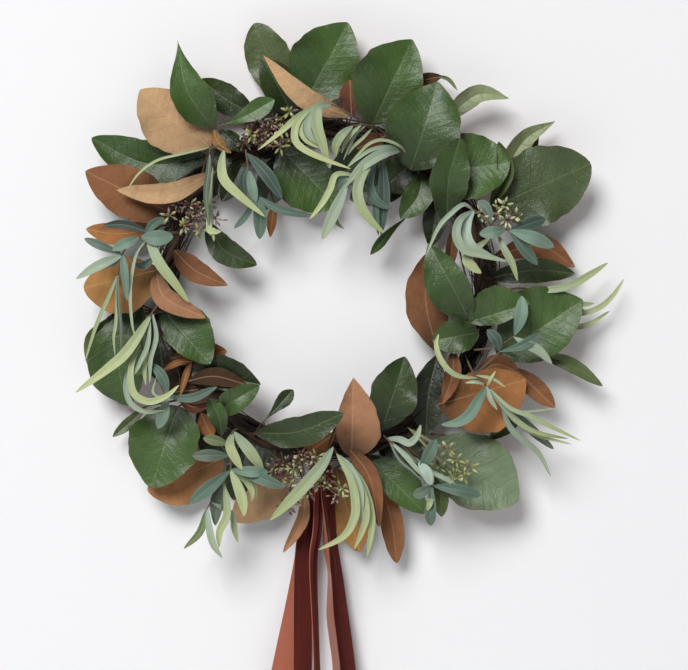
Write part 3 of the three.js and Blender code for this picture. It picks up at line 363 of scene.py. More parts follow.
# Woven velvet, deep burgundy: a short dense pile that goes dark where it is looked into and glows along
# its folds, with faint brushed streaks.
def makeVelvet():
    material, tree, shader = newMaterial("burgundy_velvet", Roughness=0.95, Sheen_Weight=0.8,
                                         Sheen_Roughness=0.35, Sheen_Tint=linear("#b0604e"))
    colour = mixColours(tree, streaks(tree, 260.0, 18.0, 3.0), linear("#42100b"), linear("#6e2217"))
    finishShader(tree, shader, colour, noise(tree, surfaceUv(tree), 2200.0, 1.0), 0.35, 0.0004)
    return material


# Satin-woven back of the velvet: copper brown threads that run along the ribbon, with a soft shine.
def makeSatin():
    material, tree, shader = newMaterial("copper_satin", Roughness=0.42, Sheen_Weight=0.2)
    thread = streaks(tree, 1800.0, 90.0, 2.0)
    colour = mixColours(tree, thread, linear("#8e4630"), linear("#b46a4e"))
    finishShader(tree, shader, colour, thread, 0.2, 0.0002)
    return material


waxed, suede = makeWaxedLeaf(), makeSuedeLeaf()
willowCloth = makeFrostedLeaf("frosted_willow_leaf", "#b9c497")
tealCloth = makeFrostedLeaf("frosted_olive_leaf", "#8ba496")
bark, budPlastic = makeBark(), makeBuds()
velvet, satin = makeVelvet(), makeSatin()
print("materials made")

view = {"lens": 100.0, "sensor": 36.0, "distance": 2.293, "foliage": -0.035, "aim": (22.8, -56.4)}
cameraData = bpy.data.cameras.new("camera")
cameraData.lens, cameraData.sensor_width, cameraData.sensor_fit = view["lens"], view["sensor"], "HORIZONTAL"
camera = bpy.data.objects.new("camera", cameraData)
aimX, aimZ = view["aim"]
camera.location = (aimX / 1000, view["foliage"] - view["distance"], (aimZ + ring["middleHeight"]) / 1000)
camera.rotation_euler = (math.pi / 2, 0, 0)
bpy.context.scene.collection.objects.link(camera)
bpy.context.scene.camera = camera


# Matt wall paint: near white with a fine roller stipple. Seen from behind, one-sided paint lets the eye
# through, so the wreath's back can be looked at.
def makeWallPaint(name, hexColour, oneSided):
    material, tree, shader = newMaterial(name, Roughness=0.9)
    stipple = noise(tree, addNode(tree, "TexCoord", {}, "Object"), 350.0, 2.0)
    colour = mixColours(tree, stipple, linear(hexColour) * 0.985, linear(hexColour))
    tree.links.new(colour, shader.inputs["Base Color"])
    if oneSided:
        behind = addNode(tree, "NewGeometry", {}, "Backfacing")
        clear = addNode(tree, "BsdfTransparent", {}, "BSDF")
        mixed = addNode(tree, "MixShader", {0: behind, 1: shader.outputs["BSDF"], 2: clear})
        tree.links.new(mixed, tree.nodes["Material Output"].inputs["Surface"])
    return material


def makePlane(name, corners, material):
    mesh = bpy.data.meshes.new(name)
    mesh.from_pydata(corners, [], [(0, 1, 2, 3)])
    mesh.materials.append(material)
    plane = bpy.data.objects.new(name, mesh)
    bpy.context.scene.collection.objects.link(plane)


room = {"wallDepth": 0.0175, "half": 3.0, "floorHeight": -1.45, "top": 1.9, "reach": 3.4}
wallY, half, floorZ, topZ = room["wallDepth"], room["half"], room["floorHeight"], room["top"]
edge = [(-half, wallY, floorZ), (half, wallY, floorZ)]
makePlane("wall", edge + [(half, wallY, topZ), (-half, wallY, topZ)], makeWallPaint("wall_paint", "#f4f4f5", True))
makePlane("floor", [(-half, -room["reach"], floorZ), (half, -room["reach"], floorZ)] + edge[::-1],
          makeWallPaint("floor_paint", "#e6e6e8", False))

lights = [
    {"name": "key", "place": (-2.6, -6.2, 4.1), "size": 4.4, "power": 636.0},
    {"name": "fill", "place": (2.6, -4.6, 0.2), "size": 3.0, "power": 10.0},
]
aim = np.array([0.0, 0.0, -0.2])
for settings in lights:
    data = bpy.data.lights.new(settings["name"], "AREA")
    data.shape, data.size, data.energy = "DISK", settings["size"], settings["power"]
    lamp = bpy.data.objects.new(settings["name"], data)
    lamp.location = settings["place"]
    x, y, z = np.array(settings["place"]) - aim
    lamp.rotation_euler = (math.atan2(math.hypot(x, y), z), 0, math.atan2(y, x) + math.pi / 2)
    bpy.context.scene.collection.objects.link(lamp)
world = bpy.data.worlds.new("studio")
world.use_nodes = True
background = world.node_tree.nodes["Background"]
background.inputs["Color"].default_value = (1.0, 1.0, 1.0, 1.0)
background.inputs["Strength"].default_value = 0.06
bpy.context.scene.world = world
bpy.context.scene.view_settings.view_transform = "Standard"
print("stage and lights set")

vines = {
    "layers": [{"count": 11, "reach": 9.3, "radius": (2.3, 3.5)}, {"count": 6, "reach": 4.6, "radius": (3.2, 4.2)}],
    "turns": (5, 6, 7), "wander": 14, "stray": 0.8, "steps": 260, "sides": 8, "seed": 3,
    "colours": ("#261a11", "#342518", "#1c140b", "#413020"),
    "twigs": 210, "twigReach": (9.5, 14.5), "twigRadius": (0.45, 1.0), "twigRun": (12, 40), "twigLoose": 11.0,
    "twigStart": 105, "twigDrift": 70, "twigFarthest": 112,
}


# One vine wound round the ring: angle around = start + turns x the angle round the ring, plus slow waves,
# at a distance off the centreline that wanders a little. The tube's two ends meet.
def vineShell(rng, reach, radius, colour):
    steps, sides = vines["steps"], vines["sides"]
    angle = np.arange(steps) * 360 / steps
    wander = rng.uniform(0, 360, 4)
    around = wander[0] + rng.choice(vines["turns"]) * angle
    around = around + vines["wander"] * np.sin(np.radians(3 * angle + wander[1]))
    distance = reach + vines["stray"] * np.sin(np.radians(5 * angle + wander[2])) - vines["stray"] / 2
    centre = place(onRing(angle, around, distance))
    tangent = unit(np.roll(centre, -1, axis=0) - np.roll(centre, 1, axis=0), 0)
    first = centre - place(onRing(angle, np.zeros(steps), np.zeros(steps)))
    first = unit(first - (first * tangent).sum(1, keepdims=True) * tangent, 0)
    turn = np.arange(sides) * 2 * np.pi / sides
    knobs = 1 + 0.09 * np.sin(np.radians(23 * angle + wander[3])) + 0.05 * np.sin(np.radians(61 * angle))
    surface = circles(centre, first, np.cross(tangent, first), turn, radius / 1000 * knobs)
    index = np.arange(steps * sides).reshape(steps, sides)
    ahead = np.roll(index, -1, axis=0)
    faces = np.stack([index, np.roll(index, -1, axis=1), np.roll(ahead, -1, axis=1), ahead], -1).reshape(-1, 4)
    run = angle / 360 * 2 * np.pi * ring["radius"] / 1000
    uv = np.stack(np.broadcast_arrays(turn[None, :] * radius / 1000, run[:, None]), -1)
    return {"points": surface.reshape(-1, 3), "faces": faces, "slots": np.zeros(len(faces), int),
            "uv": uv.reshape(-1, 2), "tint": np.tile(linear(colour), (steps * sides, 1))}


# A fine twig laid along the vines: it starts close to them, drifts round them, and its end stands off.
def twigShell(rng):
    share = np.linspace(0, 1, 7)
    angle = rng.uniform(0, 360) + rng.uniform(*vines["twigRun"]) * share * rng.choice([-1, 1])
    start, drift, farthest = vines["twigStart"], vines["twigDrift"], vines["twigFarthest"]
    around = rng.uniform(-start, start) + rng.uniform(-drift, drift) * share
    around = np.clip(around + vines["wander"] * np.sin(9 * share + angle[0]), -farthest, farthest)
    distance = rng.uniform(*vines["twigReach"]) + rng.uniform(0, vines["twigLoose"]) * share ** 2
    distance = distance + vines["stray"] * np.sin(7 * share + angle[0])
    thick = rng.uniform(*vines["twigRadius"]) / 1000
    colour = linear(vines["colours"][rng.integers(4)])
    return tubeShell(place(onRing(angle, around, distance)), (thick, thick, thick * 0.5), colour, 5, 22)


rng = np.random.default_rng(vines["seed"])
vineShells = [vineShell(rng, layer["reach"], rng.uniform(*layer["radius"]), vines["colours"][i % 4])
              for layer in vines["layers"] for i in range(layer["count"])]
vineShells += [twigShell(rng) for _ in range(vines["twigs"])]
makePiece("twisted_vines", "vine_ring", vineShells, [bark])
print("vines wound")

# Each kind's lean and fullness.
leafKinds = {
    "magnolia": (1.08, 0.72), "round": (1.0, 0.6), "broad": (0.97, 0.78), "ovate": (0.87, 0.84),
    "heart": (0.85, 0.68), "drop": (0.74, 0.95), "spoon": (1.4, 0.66), "tail": (2.4, 0.8), "lance": (0.7, 1.4),
}
# Some entries below paint shade into the leaves' colour: the base-shade level darkens each leaf towards its base, and
# the near-vine entries darken it close to the vines' ring and the wall.
leafMake = {
    "kind": "magnolia", "roll": 0, "fold": 9, "sides": (1, 1), "rootShade": 0.46,
    "rows": 46, "columns": 26, "thickness": 0.55, "tipWidth": 0.3, "cup": 0.05, "wave": 0.14, "ridge": 0.9,
    "quilt": 0.6, "quiltWidth": 75, "curlFrom": 0.7, "curlReach": 4.0, "petiole": 1.3,
    "paintedShadeNearVines": 0.75, "paintedShadeRadius": 0.181, "paintedShadeReach": 0.055, "paintedShadeHeight": 0.045,
    "stalkColour": "#4c3a24", "backColour": "#96603a", "faceColour": "#3f5a35", "edgeColour": "#6d5a35",
    "brightness": (0.98, 1.12),
}


# One magnolia leaf. Half width at u along it is half the full width x sin(pi u^lean)^fullness. A point
# stands at the centre curve + side x v x half x cos(fold) + normal x half x (sin(fold)|v| + cup v^2 + the
# edge's waves along u, times v^2), with a slightly ragged edge, a shallow quilt between the side veins, a
# raised midrib behind and a tip that curls. Shade is painted into its colour, front and back: darker towards
# its base, and near the vines by 1 - shade strength x exp(-((r - ring) / reach)^2) x depth.
def leafShell(points, width, look, make, rng):
    lean, fullness = leafKinds[make["kind"]]
    u = np.linspace(0.004, 0.997, make["rows"])
    t = np.linspace(-1, 1, make["columns"] + 1)
    v = np.sign(t) * np.abs(t) ** 1.45
    along, off, hand = u[:, None], np.abs(v), np.sign(v)
    centre, tangent = curveThrough(points, u)
    normal, side = bladeFrame(tangent, make["roll"])
    halfWidth = np.maximum(0.5 * width * np.sin(np.pi * u ** lean) ** fullness, make["tipWidth"]) / 1000
    halfWidth = halfWidth[:, None] * np.where(v < 0, *make["sides"])
    phase = rng.uniform(0, 6.28, 3)
    ragged = 1 + 0.02 * np.sin(21 * along + phase[0] + 1.7 * hand) + 0.012 * np.sin(47 * along + phase[1] * hand)
    bend = math.radians(make["fold"])
    slow = np.sin(8 * along + 2 * hand + phase[2])
    quick = 0.55 * off * np.sin(17 * along + 2.6 * hand + phase[0])
    ripple = make["wave"] * v ** 2 * (slow + quick)
    lift = halfWidth * (math.sin(bend) * off + make["cup"] * v ** 2 + ripple)
    curl = np.clip((u - make["curlFrom"]) / 0.3, 0, 1) ** 2
    lift = lift + (curl * make["curlReach"] * np.sin(3 * phase[1]))[:, None] / 1000
    across = halfWidth * v * math.cos(bend) * ragged
    acrossFlat = halfWidth * v
    alongFlat = np.broadcast_to((u * hops(centre).sum())[:, None], acrossFlat.shape)
    veinPhase = (alongFlat - leafVeins["slope"] * np.abs(acrossFlat)) / leafVeins["spacing"]
    quilt = (-make["quilt"] / 1000 * min(1, (width / make["quiltWidth"]) ** 2) * np.cos(np.pi * veinPhase) ** 2
             * np.minimum(1, 4 * off * (1 - off) * 1.2))
    middle = centre[:, None] + side[:, None] * across[..., None] + normal[:, None] * (lift + quilt)[..., None]
    showsFace = look in greens
    halfThick = make["thickness"] / 2000
    ridge = make["ridge"] / 1000 * np.exp(-(acrossFlat / 0.0011) ** 2) * (1 - 0.75 * along)
    groove = 0.25 * ridge
    frontLift, backLift = (-groove, ridge) if showsFace else (ridge, -groove)
    front = middle + normal[:, None] * (halfThick + frontLift)[..., None]
    back = middle - normal[:, None] * (halfThick + backLift)[..., None]
    jitter = rng.uniform(*make["brightness"])
    hidden = linear(make["backColour"] if showsFace else make["faceColour"])
    edge = np.clip((off - 0.93) * 10, 0, 1)[None, :, None] * 0.3
    # Painted shade: the colour is darkened towards the leaf's base and close to the vines, where the leaves shade each
    # other.
    paintedBaseLevel = make["rootShade"]
    fromRing = np.hypot(middle[..., 0], middle[..., 2] + make["paintedShadeRadius"]) - make["paintedShadeRadius"]
    depth = np.clip(1 + middle[..., 1] / make["paintedShadeHeight"], 0, 1)
    paintedVineShade = 1 - make["paintedShadeNearVines"] * np.exp(-(fromRing / make["paintedShadeReach"]) ** 2) * depth
    paintedShadeFactor = ((paintedBaseLevel + (1 - paintedBaseLevel) * np.clip(u / 0.6, 0, 1)[:, None] ** 0.8) * paintedVineShade)[..., None]
    tintFront = (linear(palette[look]) * jitter * (1 - edge) + linear(make["edgeColour"]) * edge) * paintedShadeFactor
    slots = (0, 1, 1) if showsFace else (1, 0, 1)
    return sheetShell(front, back, np.stack([acrossFlat, alongFlat], -1), tintFront, hidden * paintedShadeFactor, slots)


# A leafy stem: a stub out of the vines to the hub, and for each leaf a petiole from the hub to its base and
# on under its midrib.
def makeLeafyStem(name, slotName, seat, leaves, seed):
    rng = np.random.default_rng(seed)
    root, hub, head = (place(onRing(*seat, distance)) for distance in (
        ring["rootDepth"], ring["hubRadius"], ring["hubRadius"] + ring["hubHead"]))
    stalk = linear(leafMake["stalkColour"])
    shells = [tubeShell([root, hub, head], (0.002, 0.0021, 0.0014), stalk, 8, 8, 2)]
    thick = leafMake["petiole"] / 1000
    for base, tip, seenWidth, forward, look, *options in leaves:
        make = dict(leafMake, **(options[0] if options else {}))
        via = make.get("via", ((base[0] + tip[0]) / 2, (base[1] + tip[1]) / 2))
        points = place([(*base, forward[0]), (*via, forward[1]), (*tip, forward[2])])
        width = seenWidth / math.cos(math.radians(make["roll"])) / math.cos(math.radians(make["fold"]))
        shells.append(leafShell(points, width, look, make, rng))
        inside = curveThrough(points, np.array([0.02, 0.1]))[0]
        path = [hub, hub * 0.35 + inside[0] * 0.65, inside[0], inside[1]]
        shells.append(tubeShell(path, (thick, thick * 0.9, thick * 0.7, thick * 0.3), stalk, 7, 14, 2))
    makePiece("leaves_" + name, "magnolia_" + name, shells, [waxed, suede, bark])


# Each stem: its name, its finish, where it leaves the vines, and its leaves as base, tip, seen width, how far
# forward base, middle and tip stand, the look of the side that shows, and what differs from leafMake.
# The black, dark and umber leaves set back at the wall, forward about -6 to 8 mm, are partly painted shade: dark sheets
# filling gaps where shade falls among the vines, and partly dark foliage.
green, brown = "magnolia_green", "magnolia_brown"
leafyStems = [
    ("top_left_green", green, (112, 20), [
        ((-38, 222), (-86, 322), 56, (4, -2, 8), "grey", {"via": (-67, 278), "roll": 10, "kind": "round"}),
        ((-28, 220), (28, 322), 84, (12, 14, 16), "mid", {"roll": -8, "kind": "broad", "sides": (1.06, 0.94)}),
        ((-37, 206), (-76, 278), 48, (16, 28, 30), "dark", {"fold": 20, "kind": "broad", "sides": (0.8, 1.0)}),
    ]),
    ("top_brown", brown, (82, 20), [
        ((27, 206), (-73, 277), 25, (30, 48, 46), "tan",
         {"via": (-25, 228), "roll": 12, "kind": "ovate", "rootShade": 0.8}),
        ((32, 207), (30, 253), 27, (16, 18, 16), "red", {"fold": 15}),
    ]),
    ("top_green", green, (66, 15), [
        ((56, 196), (106, 301), 86, (22, 34, 24), "mid", {"roll": -8, "kind": "ovate", "sides": (1.1, 0.85)}),
        ((103, 141), (135, 246), 90, (36, 52, 42), "deep", {"roll": 6, "kind": "ovate", "rootShade": 0.25}),
    ]),
    ("top_curl", brown, (64, 60), [
        ((106, 250), (142, 257), 15, (8, 12, 14), "umber", {"fold": 30, "kind": "broad"}),
        ((132, 258), (160, 239), 5, (12, 14, 16), "pale", {"via": (149, 253), "fold": 30}),
    ]),
    ("top_inner_brown", brown, (76, -35), [
        ((74, 185), (38, 168), 22, (16, 20, 22), "red", {"fold": 15}),
    ]),
    ("upper_right_back", green, (50, 60), [
        ((146, 205), (222, 229), 24, (8, 18, 24), "sage",
         {"via": (184, 234), "fold": 20, "kind": "drop", "rootShade": 0.5}),
        ((212, 128), (279, 203), 24, (4, 8, 12), "sage",
         {"via": (240, 178), "fold": 30, "kind": "drop", "rootShade": 0.6}),
        ((232, 140), (259, 188), 18, (0, 2, 4), "grey"),
    ]),
    ("upper_right_front", green, (40, 10), [
        ((127, 139), (222, 150), 80, (24, 36, 38), "mid", {"roll": 6, "kind": "round", "rootShade": 0.45}),
        ((146, 80), (160, 177), 45, (34, 62, 66), "deep", {"via": (147, 130), "roll": -16, "kind": "round"}),
        ((199, 98), (208, 176), 21, (28, 30, 34), "grey", {"via": (216, 138), "fold": 40, "rootShade": 0.8}),
    ]),
    ("right_round", green, (28, 55), [
        ((200, 97), (320, 150), 88, (20, 26, 26), "moss",
         {"roll": -6, "fold": 0, "kind": "round", "sides": (1.06, 1.04), "rootShade": 0.3}),
    ]),
    ("right_inner_brown", brown, (-10, -40), [
        ((156, 76), (150, 22), 15, (10, 12, 8), "rust", {"fold": 50}),
        ((137, -78), (125, 44), 52, (8, 14, 8), "rust", {"via": (122, -18), "roll": -12}),
    ]),
    ("right_inner_green", green, (-6, 5), [
        ((175, -41), (124, 54), 50, (30, 44, 36), "deep",
         {"roll": 8, "kind": "ovate", "sides": (1.2, 0.82), "rootShade": 0.5}),
        ((185, -53), (129, -63), 41, (28, 36, 34), "deep", {"fold": 15, "kind": "round"}),
        ((172, -41), (244, -18), 46, (32, 44, 46), "mid",
         {"fold": 12, "kind": "broad", "sides": (1.42, 0.58), "rootShade": 0.5}),
    ]),
    ("right_green", green, (-15, 45), [
        ((208, -82), (310, -14), 86, (14, 30, 30), "mid",
         {"roll": 8, "kind": "broad", "sides": (1.15, 0.85), "rootShade": 0.4}),
        ((256, -79), (335, -118), 18, (12, 14, 22), "grey", {"via": (296, -92), "fold": 30}),
    ]),
    ("right_dark", green, (2, 60), [
        ((194, 12), (302, 18), 30, (8, 14, 16), "dark", {"via": (252, 22), "roll": -12, "fold": 5, "rootShade": 0.35}),
    ]),
    ("right_brown", brown, (8, 85), [
        ((203, 38), (304, 26), 29, (2, 0, 4), "rust", {"via": (260, 52), "fold": 15, "kind": "broad"}),
    ]),
    ("lower_right_brown", brown, (-38, 25), [
        ((136, -140), (241, -110), 76, (22, 32, 34), "orange",
         {"fold": 9, "kind": "round", "sides": (0.7, 1.3), "rootShade": 0.25}),
        ((228, -96), (277, -144), 25, (18, 22, 26), "rust", {"fold": 30}),
        ((178, -112), (236, -104), 24, (16, 20, 18), "rust", {"via": (206, -92), "fold": 20}),
        ((154, -74), (142, -138), 20, (24, 32, 30), "rust", {"via": (153, -103), "fold": 35}),
    ]),
    ("lower_right_inner", green, (-52, -35), [
        ((136, -80), (122, -180), 42, (14, 15, 12), "black", {"via": (125, -128), "fold": 10}),
        ((68, -171), (96, -82), 56, (30, 44, 38), "dark", {"roll": -8, "kind": "broad"}),
    ]),
    ("bottom_pointed", brown, (-82, -5), [
        ((32, -203), (34, -107), 52, (24, 44, 40), "pink",
         {"fold": 20, "kind": "drop", "sides": (0.75, 1.28), "rootShade": 0.3}),
        ((13, -174), (-30, -206), 24, (26, 27, 23), "orange", {"fold": 10}),
        ((26, -190), (65, -286), 24, (26, 38, 36), "rust", {"via": (53, -226), "fold": 25}),
        ((16, -154), (4, -193), 8, (36, 38, 34), "umber", {"via": (13, -172), "fold": 10}),
    ]),
    ("bottom_right_green", green, (-64, 30), [
        ((50, -202), (121, -272), 43, (12, 18, 22), "mid", {"roll": 8, "sides": (1.18, 0.82)}),
        ((136, -223), (140, -275), 20, (32, 37, 36), "olive", {"fold": 25}),
        # Filler at the wall: partly painted shade in a gap, partly dark foliage.
        ((58, -182), (138, -222), 44, (-4, 2, 4), "black"),
    ]),
    ("lower_right_pale", green, (-58, 55), [
        ((117, -190), (233, -257), 89, (12, 20, 26), "pale", {"roll": 8, "sides": (1.1, 0.9)}),
        ((198, -183), (239, -150), 20, (12, 14, 16), "grey", {"fold": 15}),
    ]),
    ("bottom_right_brown", brown, (-76, 70), [
        ((58, -212), (87, -333), 28, (2, 4, 12), "rust", {"via": (79, -275), "fold": 25, "kind": "spoon"}),
        ((12, -217), (42, -321), 47, (-3, -1, 3), "golden", {"roll": 10}),
    ]),
    ("bottom_midrib", green, (-116, 10), [
        ((-84, -174), (23, -148), 38, (36, 62, 72), "dark", {"via": (-32, -171), "roll": -8}),
        ((-76, -163), (-38, -122), 18, (30, 34, 34), "dark", {"fold": 15, "kind": "tail"}),
        # Filler at the wall: partly painted shade in a gap, partly dark foliage.
        ((-104, -168), (-40, -222), 50, (-2, 2, 4), "black"),
    ]),
    ("bottom_curled_tip", brown, (-100, 60), [
        ((-24, -238), (-50, -317), 15, (32, 36, 38), "pink", {"via": (-27, -277), "fold": 35}),
    ]),
    ("bottom_left_tan", brown, (-107, 75), [
        ((-44, -223), (-115, -282), 50, (2, 2, 6), "tan",
         {"roll": -10, "kind": "broad", "sides": (1.18, 0.82), "rootShade": 0.25}),
    ]),
    ("lower_left_rust", brown, (-122, 70), [
        ((-124, -206), (-215, -245), 58, (4, 8, 14), "peach", {"roll": 8, "kind": "round", "sides": (1.25, 0.75)}),
    ]),
    ("lower_left_green", green, (-140, 40), [
        ((-178, -142), (-209, -240), 85, (18, 34, 30), "mid", {"roll": -8, "kind": "heart"}),
        ((-216, -142), (-258, -180), 14, (6, 6, 8), "grey", {"via": (-238, -163), "fold": 20}),
    ]),
    ("left_green", green, (-172, 40), [
        ((-194, -28), (-137, -91), 56, (26, 44, 44), "deep",
         {"roll": 8, "kind": "heart", "sides": (1.22, 0.74), "rootShade": 0.45}),
        ((-224, -17), (-240, -143), 72, (10, 16, 12), "deep", {"via": (-249, -84), "roll": -10, "rootShade": 0.45}),
        ((-262, -34), (-290, -93), 13, (-4, -6, -4), "grey", {"via": (-286, -60)}),
        # These two fillers at the wall: partly painted shade in a gap, partly dark foliage.
        ((-206, -30), (-196, -118), 46, (-6, 0, -2), "black"),
        ((-232, -24), (-284, -66), 26, (-4, -6, -6), "black"),
    ]),
    ("lower_left_inner_brown", brown, (-146, -20), [
        ((-150, -150), (-136, -181), 20, (20, 22, 22), "orange", {"fold": 15}),
        ((-186, -84), (-119, -76), 32, (12, 18, 16), "orange", {"fold": 15}),
        ((-177, -132), (-138, -139), 15, (23, 22, 20), "red", {"via": (-159, -143), "fold": 20}),
        ((-160, -88), (-174, -129), 8, (26, 30, 28), "orange", {"via": (-167, -104), "fold": 25}),
        ((-160, -88), (-197, -100), 8, (26, 28, 22), "orange", {"via": (-178, -90), "fold": 25}),
        # Filler at the wall: partly painted shade in a gap, partly dark foliage.
        ((-184, -70), (-172, -136), 40, (-2, 6, 2), "umber"),
        ((-112, -118), (-190, -126), 34, (18, 22, 18), "umber", {"via": (-150, -122), "fold": 12}),
    ]),
    ("lower_left_dark", green, (-132, -15), [
        ((-128, -150), (-78, -117), 30, (28, 48, 46), "deep", {"via": (-109, -135), "fold": 20}),
        ((-164, -99), (-77, -116), 42, (26, 34, 32), "black", {"fold": 15, "kind": "ovate", "sides": (1.25, 0.75)}),
        ((-166, -112), (-94, -116), 22, (28, 40, 36), "umber", {"via": (-132, -106), "fold": 10}),
        ((-124, -180), (-138, -132), 23, (28, 40, 42), "deep", {"via": (-127, -155), "fold": 15, "kind": "spoon"}),
        # These two fillers at the wall: partly painted shade in a gap, partly dark foliage.
        ((-156, -150), (-110, -214), 46, (-4, 2, 0), "black"),
        ((-92, -184), (-112, -258), 36, (-6, 0, 0), "black"),
    ]),
    ("left_brown", brown, (172, 25), [
        ((-201, 22), (-291, 0), 68, (20, 28, 28), "golden", {"roll": -8, "kind": "round", "sides": (1.28, 0.72)}),
        ((-182, 46), (-117, 3), 28, (24, 30, 28), "rust", {"via": (-156, 21), "fold": 15, "kind": "ovate"}),
        ((-203, 20), (-142, -36), 26, (30, 54, 54), "pink", {"via": (-190, -12), "fold": 20}),
    ]),
    ("left_rust", brown, (158, 50), [
        ((-180, 88), (-289, 141), 62, (16, 26, 22), "rust", {"fold": 15, "kind": "broad"}),
        ((-198, 76), (-290, 72), 28, (10, 12, 14), "orange", {"via": (-248, 66), "fold": 15}),
    ]),
    ("left_inner_dark", green, (150, -50), [
        ((-142, 80), (-82, 28), 32, (18, 26, 24), "dark", {"via": (-122, 46), "fold": 20}),
        # Filler at the wall: partly painted shade in a gap, partly dark foliage.
        ((-178, 92), (-128, 152), 42, (-6, -2, -2), "black"),
    ]),
    ("upper_left_green", green, (128, 25), [
        ((-142, 161), (-283, 182), 54, (12, 12, 10), "deep", {"via": (-213, 151), "fold": 15}),
        ((-134, 190), (-177, 297), 46, (26, 36, 30), "mid",
         {"via": (-166, 238), "fold": 15, "kind": "lance", "sides": (0.95, 1.15)}),
        ((-134, 193), (-60, 225), 24, (30, 44, 46), "mid", {"via": (-98, 204), "fold": 15, "kind": "tail"}),
        ((-127, 191), (-98, 165), 20, (22, 29, 27), "black", {"fold": 15}),
        ((-133, 192), (-113, 163), 13, (28, 32, 26), "golden", {"via": (-129, 176), "fold": 20}),
    ]),
    ("upper_left_tan", brown, (138, 30), [
        ((-138, 171), (-224, 241), 82, (20, 22, 18), "tan",
         {"via": (-183, 202), "roll": -10, "kind": "broad", "sides": (0.96, 0.84), "rootShade": 0.85}),
        ((-130, 141), (-249, 117), 25, (28, 44, 42), "tan", {"via": (-187, 113), "fold": 15}),
    ]),
    ("upper_left_dark", green, (116, 70), [
        ((-84, 210), (-151, 254), 36, (4, 8, 6), "dark", {"via": (-119, 229), "fold": 15}),
        # These two fillers at the wall: partly painted shade behind the seeds, partly dark twigs and foliage.
        ((-104, 172), (-18, 198), 48, (-6, -4, -4), "black", {"via": (-66, 182)}),
        ((-100, 204), (-30, 214), 26, (-6, -4, -4), "black"),
    ]),
    ("top_inner_green", green, (103, -55), [
        ((-54, 169), (14, 99), 70, (6, 14, 16), "mid", {"roll": 8, "kind": "round", "sides": (0.78, 1.22)}),
    ]),
    ("upper_left_inner_dark", green, (124, -50), [
        ((-97, 160), (-125, 105), 30, (8, 14, 16), "black", {"via": (-108, 133), "fold": 20}),
        ((-122, 184), (-130, 112), 26, (8, 14, 12), "black", {"fold": 12}),
        # Filler at the wall: partly painted shade in a gap, partly dark foliage.
        ((-52, 166), (-76, 94), 38, (-4, 2, 4), "black"),
    ]),
    ("top_inner_tip", brown, (117, -70), [
        ((-62, 104), (-67, 62), 12, (6, 8, 8), "orange", {"fold": 35, "kind": "broad"}),
    ]),
    ("upper_right_inner_green", green, (52, -50), [
        ((112, 158), (66, 118), 44, (8, 13, 14), "dark", {"fold": 8}),
        ((118, 142), (91, 84), 36, (12, 20, 22), "mid", {"via": (112, 112), "fold": 15, "rootShade": 0.8}),
        # These three fillers at the wall: partly painted shade in a gap, partly dark foliage.
        ((66, 172), (6, 130), 46, (4, 8, 8), "dark"),
        ((112, 148), (30, 108), 50, (0, 6, 6), "black"),
        ((140, 130), (128, 50), 30, (2, 6, 4), "black"),
    ]),
    ("upper_right_inner_curl", brown, (38, -75), [
        ((110, 96), (55, 41), 12, (6, 12, 18), "deep", {"via": (80, 70), "fold": 40, "kind": "tail"}),
    ]),
]
for number, stem in enumerate(leafyStems):
    makeLeafyStem(*stem, 100 + number)
print("magnolia leaves made")

# Each kind's lean and fullness, and each shade's colours at root and tip.
bladeKinds = {
    "willow": (0.9, 0.66), "fine": (0.9, 0.66), "arc": (0.95, 0.55), "round": (1.25, 0.6), "teal": (1.2, 0.66),
}
shades = {
    "willow": ("#869886", "#a8b37a"), "fine": ("#87967b", "#a8b380"), "teal": ("#455c4d", "#556d5b"),
    "dark": ("#304238", "#3a5044"), "blue": ("#627b69", "#728a77"), "slate": ("#4d5b4e", "#5d6c5b"),
    "lime": ("#8e9d76", "#bac18b"), "frost": ("#879a8c", "#a0ae90"), "pearl": ("#98aca0", "#a5b5a1"),
    "moss": ("#5a6842", "#6c7748"), "black": ("#26332a", "#2c3a2c"),
}
sprigMake = {
    "rows": 30, "columns": 8, "thickness": 0.4, "tipWidth": 0.15, "fold": 20, "cup": 0.12, "twist": 16,
    "brightness": (0.9, 1.1), "backShade": 0.92, "stem": 1.25, "stemTip": 0.7,
    "shortLead": 0.005, "sharpTurn": 0.9, "stemColour": "#64533e",
    "rimColour": "#718a7b", "rimShare": 0.45, "rimless": ("moss", "lime", "black"),
}


# One narrow blade: the magnolia formula with its own outline, halves folded up a little from the midrib and a
# slight twist. Its colour runs from the root's to the tip's, and a teal blade is paler along its rim.
def bladeShell(points, width, kind, shade, cloth, rng):
    lean, fullness = bladeKinds[kind]
    u = np.linspace(0.004, 0.997, sprigMake["rows"])
    v = np.linspace(-1, 1, sprigMake["columns"] + 1)
    centre, tangent = curveThrough(points, u)
    normal, side = bladeFrame(tangent, rng.uniform(-sprigMake["twist"], sprigMake["twist"]) * (u - 0.5))
    halfWidth = np.maximum(0.5 * width * np.sin(np.pi * u ** lean) ** fullness, sprigMake["tipWidth"]) / 1000
    halfWidth = halfWidth[:, None]
    bend = math.radians(sprigMake["fold"])
    lift = halfWidth * (math.sin(bend) * np.abs(v) - sprigMake["cup"] * v ** 2)
    across = halfWidth * v * math.cos(bend * 0.6)
    middle = centre[:, None] + side[:, None] * across[..., None] + normal[:, None] * lift[..., None]
    halfThick = sprigMake["thickness"] / 2000
    front, back = middle + normal[:, None] * halfThick, middle - normal[:, None] * halfThick
    rootColour, tipColour = (linear(c) for c in shades[shade])
    tint = rootColour + (tipColour - rootColour) * (u[:, None, None] ** 0.8)
    tint = tint * rng.uniform(*sprigMake["brightness"])
    rim = np.clip((np.abs(v) - 0.7) * 3, 0, 1)[None, :, None]
    rim = rim * (sprigMake["rimShare"] if kind == "teal" and shade not in sprigMake["rimless"] else 0)
    tint = tint * (1 - rim) + linear(sprigMake["rimColour"]) * rim
    uv = np.stack([halfWidth * v, np.broadcast_to((u * hops(centre).sum())[:, None], across.shape)], -1)
    return sheetShell(front, back, uv, tint, tint * sprigMake["backShade"], (cloth, cloth, cloth))


